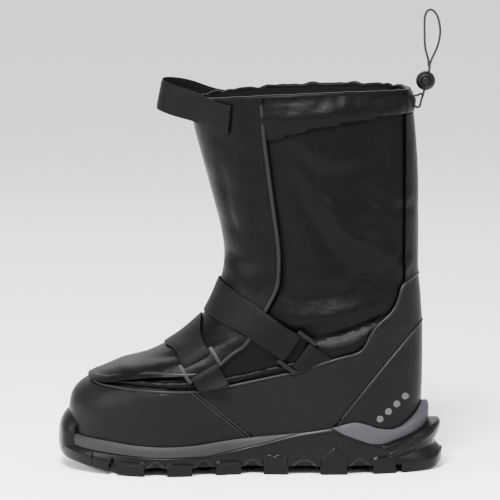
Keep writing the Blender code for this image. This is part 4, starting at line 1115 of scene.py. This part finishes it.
def bumped(name, layers):
    """Adds bump from noise or weave layers: kind, scale, strength and distance in metres."""
    material = FINISH[name]
    tree = material.node_tree
    shade = tree.nodes["Principled BSDF"]
    place = add(tree, "ShaderNodeTexCoord")
    before = None
    for kind, scale, strength, distance in layers:
        bump = add(tree, "ShaderNodeBump")
        bump.inputs["Strength"].default_value = strength
        bump.inputs["Distance"].default_value = distance
        if kind == "noise":
            tex = add(tree, "ShaderNodeTexNoise")
            tex.inputs["Scale"].default_value = scale
            tex.inputs["Detail"].default_value = 4
            tree.links.new(place.outputs["Object"], tex.inputs["Vector"])
            height = tex.outputs["Fac"]
        elif kind == "cells":
            tex = add(tree, "ShaderNodeTexVoronoi")
            tex.inputs["Scale"].default_value = scale
            tree.links.new(place.outputs["Object"], tex.inputs["Vector"])
            height = tex.outputs["Distance"]
        elif kind == "weave":
            height = waves(tree, place.outputs["Object"], (("X", scale), ("Y", scale), ("Z", scale)))
        elif kind == "ribs":
            uv = add(tree, "ShaderNodeUVMap", uv_map="along")
            height = waves(tree, uv.outputs["UV"], (("X", scale), ("Y", scale * 0.5)))
        tree.links.new(height, bump.inputs["Height"])
        if before:
            tree.links.new(before, bump.inputs["Normal"])
        before = bump.outputs["Normal"]
    tree.links.new(before, shade.inputs["Normal"])


FINISH = {}


def build_finishes():
    """Every finish: colour, roughness, gloss, and bump of noise, weave or ribs; the foam's colour carries
    painted light, lighter toward the heel.
    """
    shader("nylon", (0.0007, 0.00065, 0.0010), 0.40, Specular_IOR_Level=0.055, Sheen_Weight=0.002,
           Sheen_Roughness=0.35)
    bumped("nylon", (("noise", 30, 0.30, 0.005), ("noise", 120, 0.16, 0.0014), ("weave", 900, 0.12, 0.0002),
                     ("noise", 1300, 0.15, 0.0002)))
    shader("coated", (0.0022, 0.0021, 0.0025), 0.44, Specular_IOR_Level=0.070)
    bumped("coated", (("noise", 60, 0.25, 0.003), ("cells", 1400, 0.25, 0.0003), ("noise", 600, 0.2, 0.0004)))
    shader("rubber", (0.0018, 0.0019, 0.0021), 0.36, Specular_IOR_Level=0.080)
    bumped("rubber", (("noise", 1200, 0.12, 0.0002), ("noise", 90, 0.1, 0.001)))
    shader("foam", (0.022, 0.0225, 0.025), 0.65, Specular_IOR_Level=0.2)
    bumped("foam", (("noise", 1500, 0.2, 0.0002), ("noise", 140, 0.15, 0.0008)))
    # Painted light: the foam is painted about three times lighter toward the heel, a painted highlight for
    # the light falling on the back of the boot.
    painted_light_behind("foam", (0.0065, 0.0068, 0.0076), (0.019, 0.0195, 0.0220), 0.020, -0.060)
    shader("webbing", (0.0013, 0.00125, 0.0013), 0.5, Specular_IOR_Level=0.055, Sheen_Weight=0.004)
    bumped("webbing", (("ribs", 320, 0.22, 0.0004), ("noise", 900, 0.2, 0.0003)))
    shader("edging", (0.0022, 0.0021, 0.0024), 0.42, Specular_IOR_Level=0.14)
    bumped("edging", (("noise", 300, 0.3, 0.0006),))
    shader("plastic", (0.0018, 0.0018, 0.0020), 0.45, Specular_IOR_Level=0.10)
    bumped("plastic", (("noise", 1500, 0.05, 0.0001),))
    shader("metal", (0.03, 0.03, 0.032), 0.35, Metallic=0.6)
    shader("cord", (0.0060, 0.0060, 0.0064), 0.6, Specular_IOR_Level=0.16)
    bumped("cord", (("weave", 700, 0.4, 0.0003),))
    shader("lining", (0.0022, 0.0022, 0.0025), 0.9, Specular_IOR_Level=0.06)
    bumped("lining", (("noise", 700, 0.5, 0.0008),))
    shader("felt", (0.0030, 0.0030, 0.0034), 0.9, Specular_IOR_Level=0.06)
    bumped("felt", (("noise", 900, 0.6, 0.0008),))
    shader("thread", (0.0018, 0.0018, 0.0020), 0.5, Specular_IOR_Level=0.08)
    shader("reflective", (0.030, 0.031, 0.033), 0.35, Metallic=0.3)
    bumped("reflective", (("cells", 1500, 0.2, 0.0002),))
    shader("floor", (0.93, 0.93, 0.93), 0.9, Specular_IOR_Level=0.1)


def painted_light_behind(name, front, back, x_front, x_back):
    """Blends a finish's colour along the boot, in metres; on the foam this is painted light, lighter toward
    the heel where the light falls.
    """
    tree = FINISH[name].node_tree
    place = add(tree, "ShaderNodeTexCoord")
    part = add(tree, "ShaderNodeSeparateXYZ")
    tree.links.new(place.outputs["Object"], part.inputs[0])
    share = add(tree, "ShaderNodeMapRange")
    for key, value in (("From Min", x_front), ("From Max", x_back)):
        share.inputs[key].default_value = value
    tree.links.new(part.outputs["X"], share.inputs["Value"])
    mix = add(tree, "ShaderNodeMix", data_type="RGBA")
    mix.inputs[6].default_value = (*front, 1)
    mix.inputs[7].default_value = (*back, 1)
    tree.links.new(share.outputs["Result"], mix.inputs[0])
    tree.links.new(mix.outputs[2], tree.nodes["Principled BSDF"].inputs["Base Color"])


def aim(obj, target):
    obj.rotation_euler = (Vector(target) - obj.location).to_track_quat("-Z", "Y").to_euler()


# Camera and lights, in metres, millimetres of lens and watts
LENS, SENSOR = 274.4, 36
CAMERA, CAMERA_TARGET = (0.0006, 3.2, 0.577), (0.0006, 0, 0.1843)
LIGHT_TARGET, SKY, FLOOR = (0, 0, 0.15), 1.45, 60
LIGHTS = (  # name, place, size, power
    ("top_light", (0.2, 1.2, 1.45), 0.5, 150),
    ("left_light", (1.7, 0.9, 0.8), 0.6, 42),
    ("right_light", (-1.7, 1.1, 0.9), 0.6, 22),
    ("back_light", (0.2, -1.6, 1.5), 1.2, 16),
)


def build_stage():
    """Floor, camera at the photograph's angle, four soft lights and an even sky."""
    bpy.ops.object.select_all(action="DESELECT")
    bpy.ops.mesh.primitive_plane_add(size=FLOOR, location=(0, 0, 0))
    floor = bpy.context.object
    floor.name = "floor"
    floor.data.materials.append(FINISH["floor"])
    camera = bpy.data.objects.new("camera", bpy.data.cameras.new("camera"))
    bpy.context.scene.collection.objects.link(camera)
    camera.data.lens, camera.data.sensor_width = LENS, SENSOR
    camera.location = CAMERA
    aim(camera, CAMERA_TARGET)
    bpy.context.scene.camera = camera
    for name, place, size, power in LIGHTS:
        light = bpy.data.objects.new(name, bpy.data.lights.new(name, "AREA"))
        bpy.context.scene.collection.objects.link(light)
        light.data.size = size
        light.data.energy = power
        light.location = place
        aim(light, LIGHT_TARGET)
    world = bpy.data.worlds.new("studio")
    world.use_nodes = True
    world.node_tree.nodes["Background"].inputs["Color"].default_value = (1, 1, 1, 1)
    world.node_tree.nodes["Background"].inputs["Strength"].default_value = SKY
    bpy.context.scene.world = world


# Centre of each buckle on the outer side, x and height, and the way from strap to tab
INSTEP_BUCKLE = ((-38.7, 104.0), (-0.8145, -0.580))
VAMP_BUCKLE = ((41.9, 91.2), (-0.50, -0.866))

build_finishes()
build_stage()
build_drawcord()
build_upper()
build_panels()
build_flap()
build_strap("instep_webbing", INSTEP_BUCKLE, (-10, 124.4), -23, 233, "instep_strap",
            spread=0.28, shift=-5.1, rise=(-15, 75), fall=(110, 190), drop=(0.8, 0.6, 44, 58))
build_strap("vamp_webbing", VAMP_BUCKLE, (31.9, 73.9), 42, 192, "vamp_strap",
            spread=0.66, shift=0.6, rise=(42, 84), fall=(100, 165), drop=(0.3, 0.95, 75, 88))
build_anchor("instep_tab", INSTEP_BUCKLE, "instep_anchor")
build_anchor("vamp_tab", VAMP_BUCKLE, "vamp_anchor")
build_buckle("instep_ladder", "instep_buckle")
build_buckle("vamp_ladder", "vamp_buckle")
build_pull_loop()
build_outsole()
build_midsole()
build_trims()
build_pleat()
build_reflector()
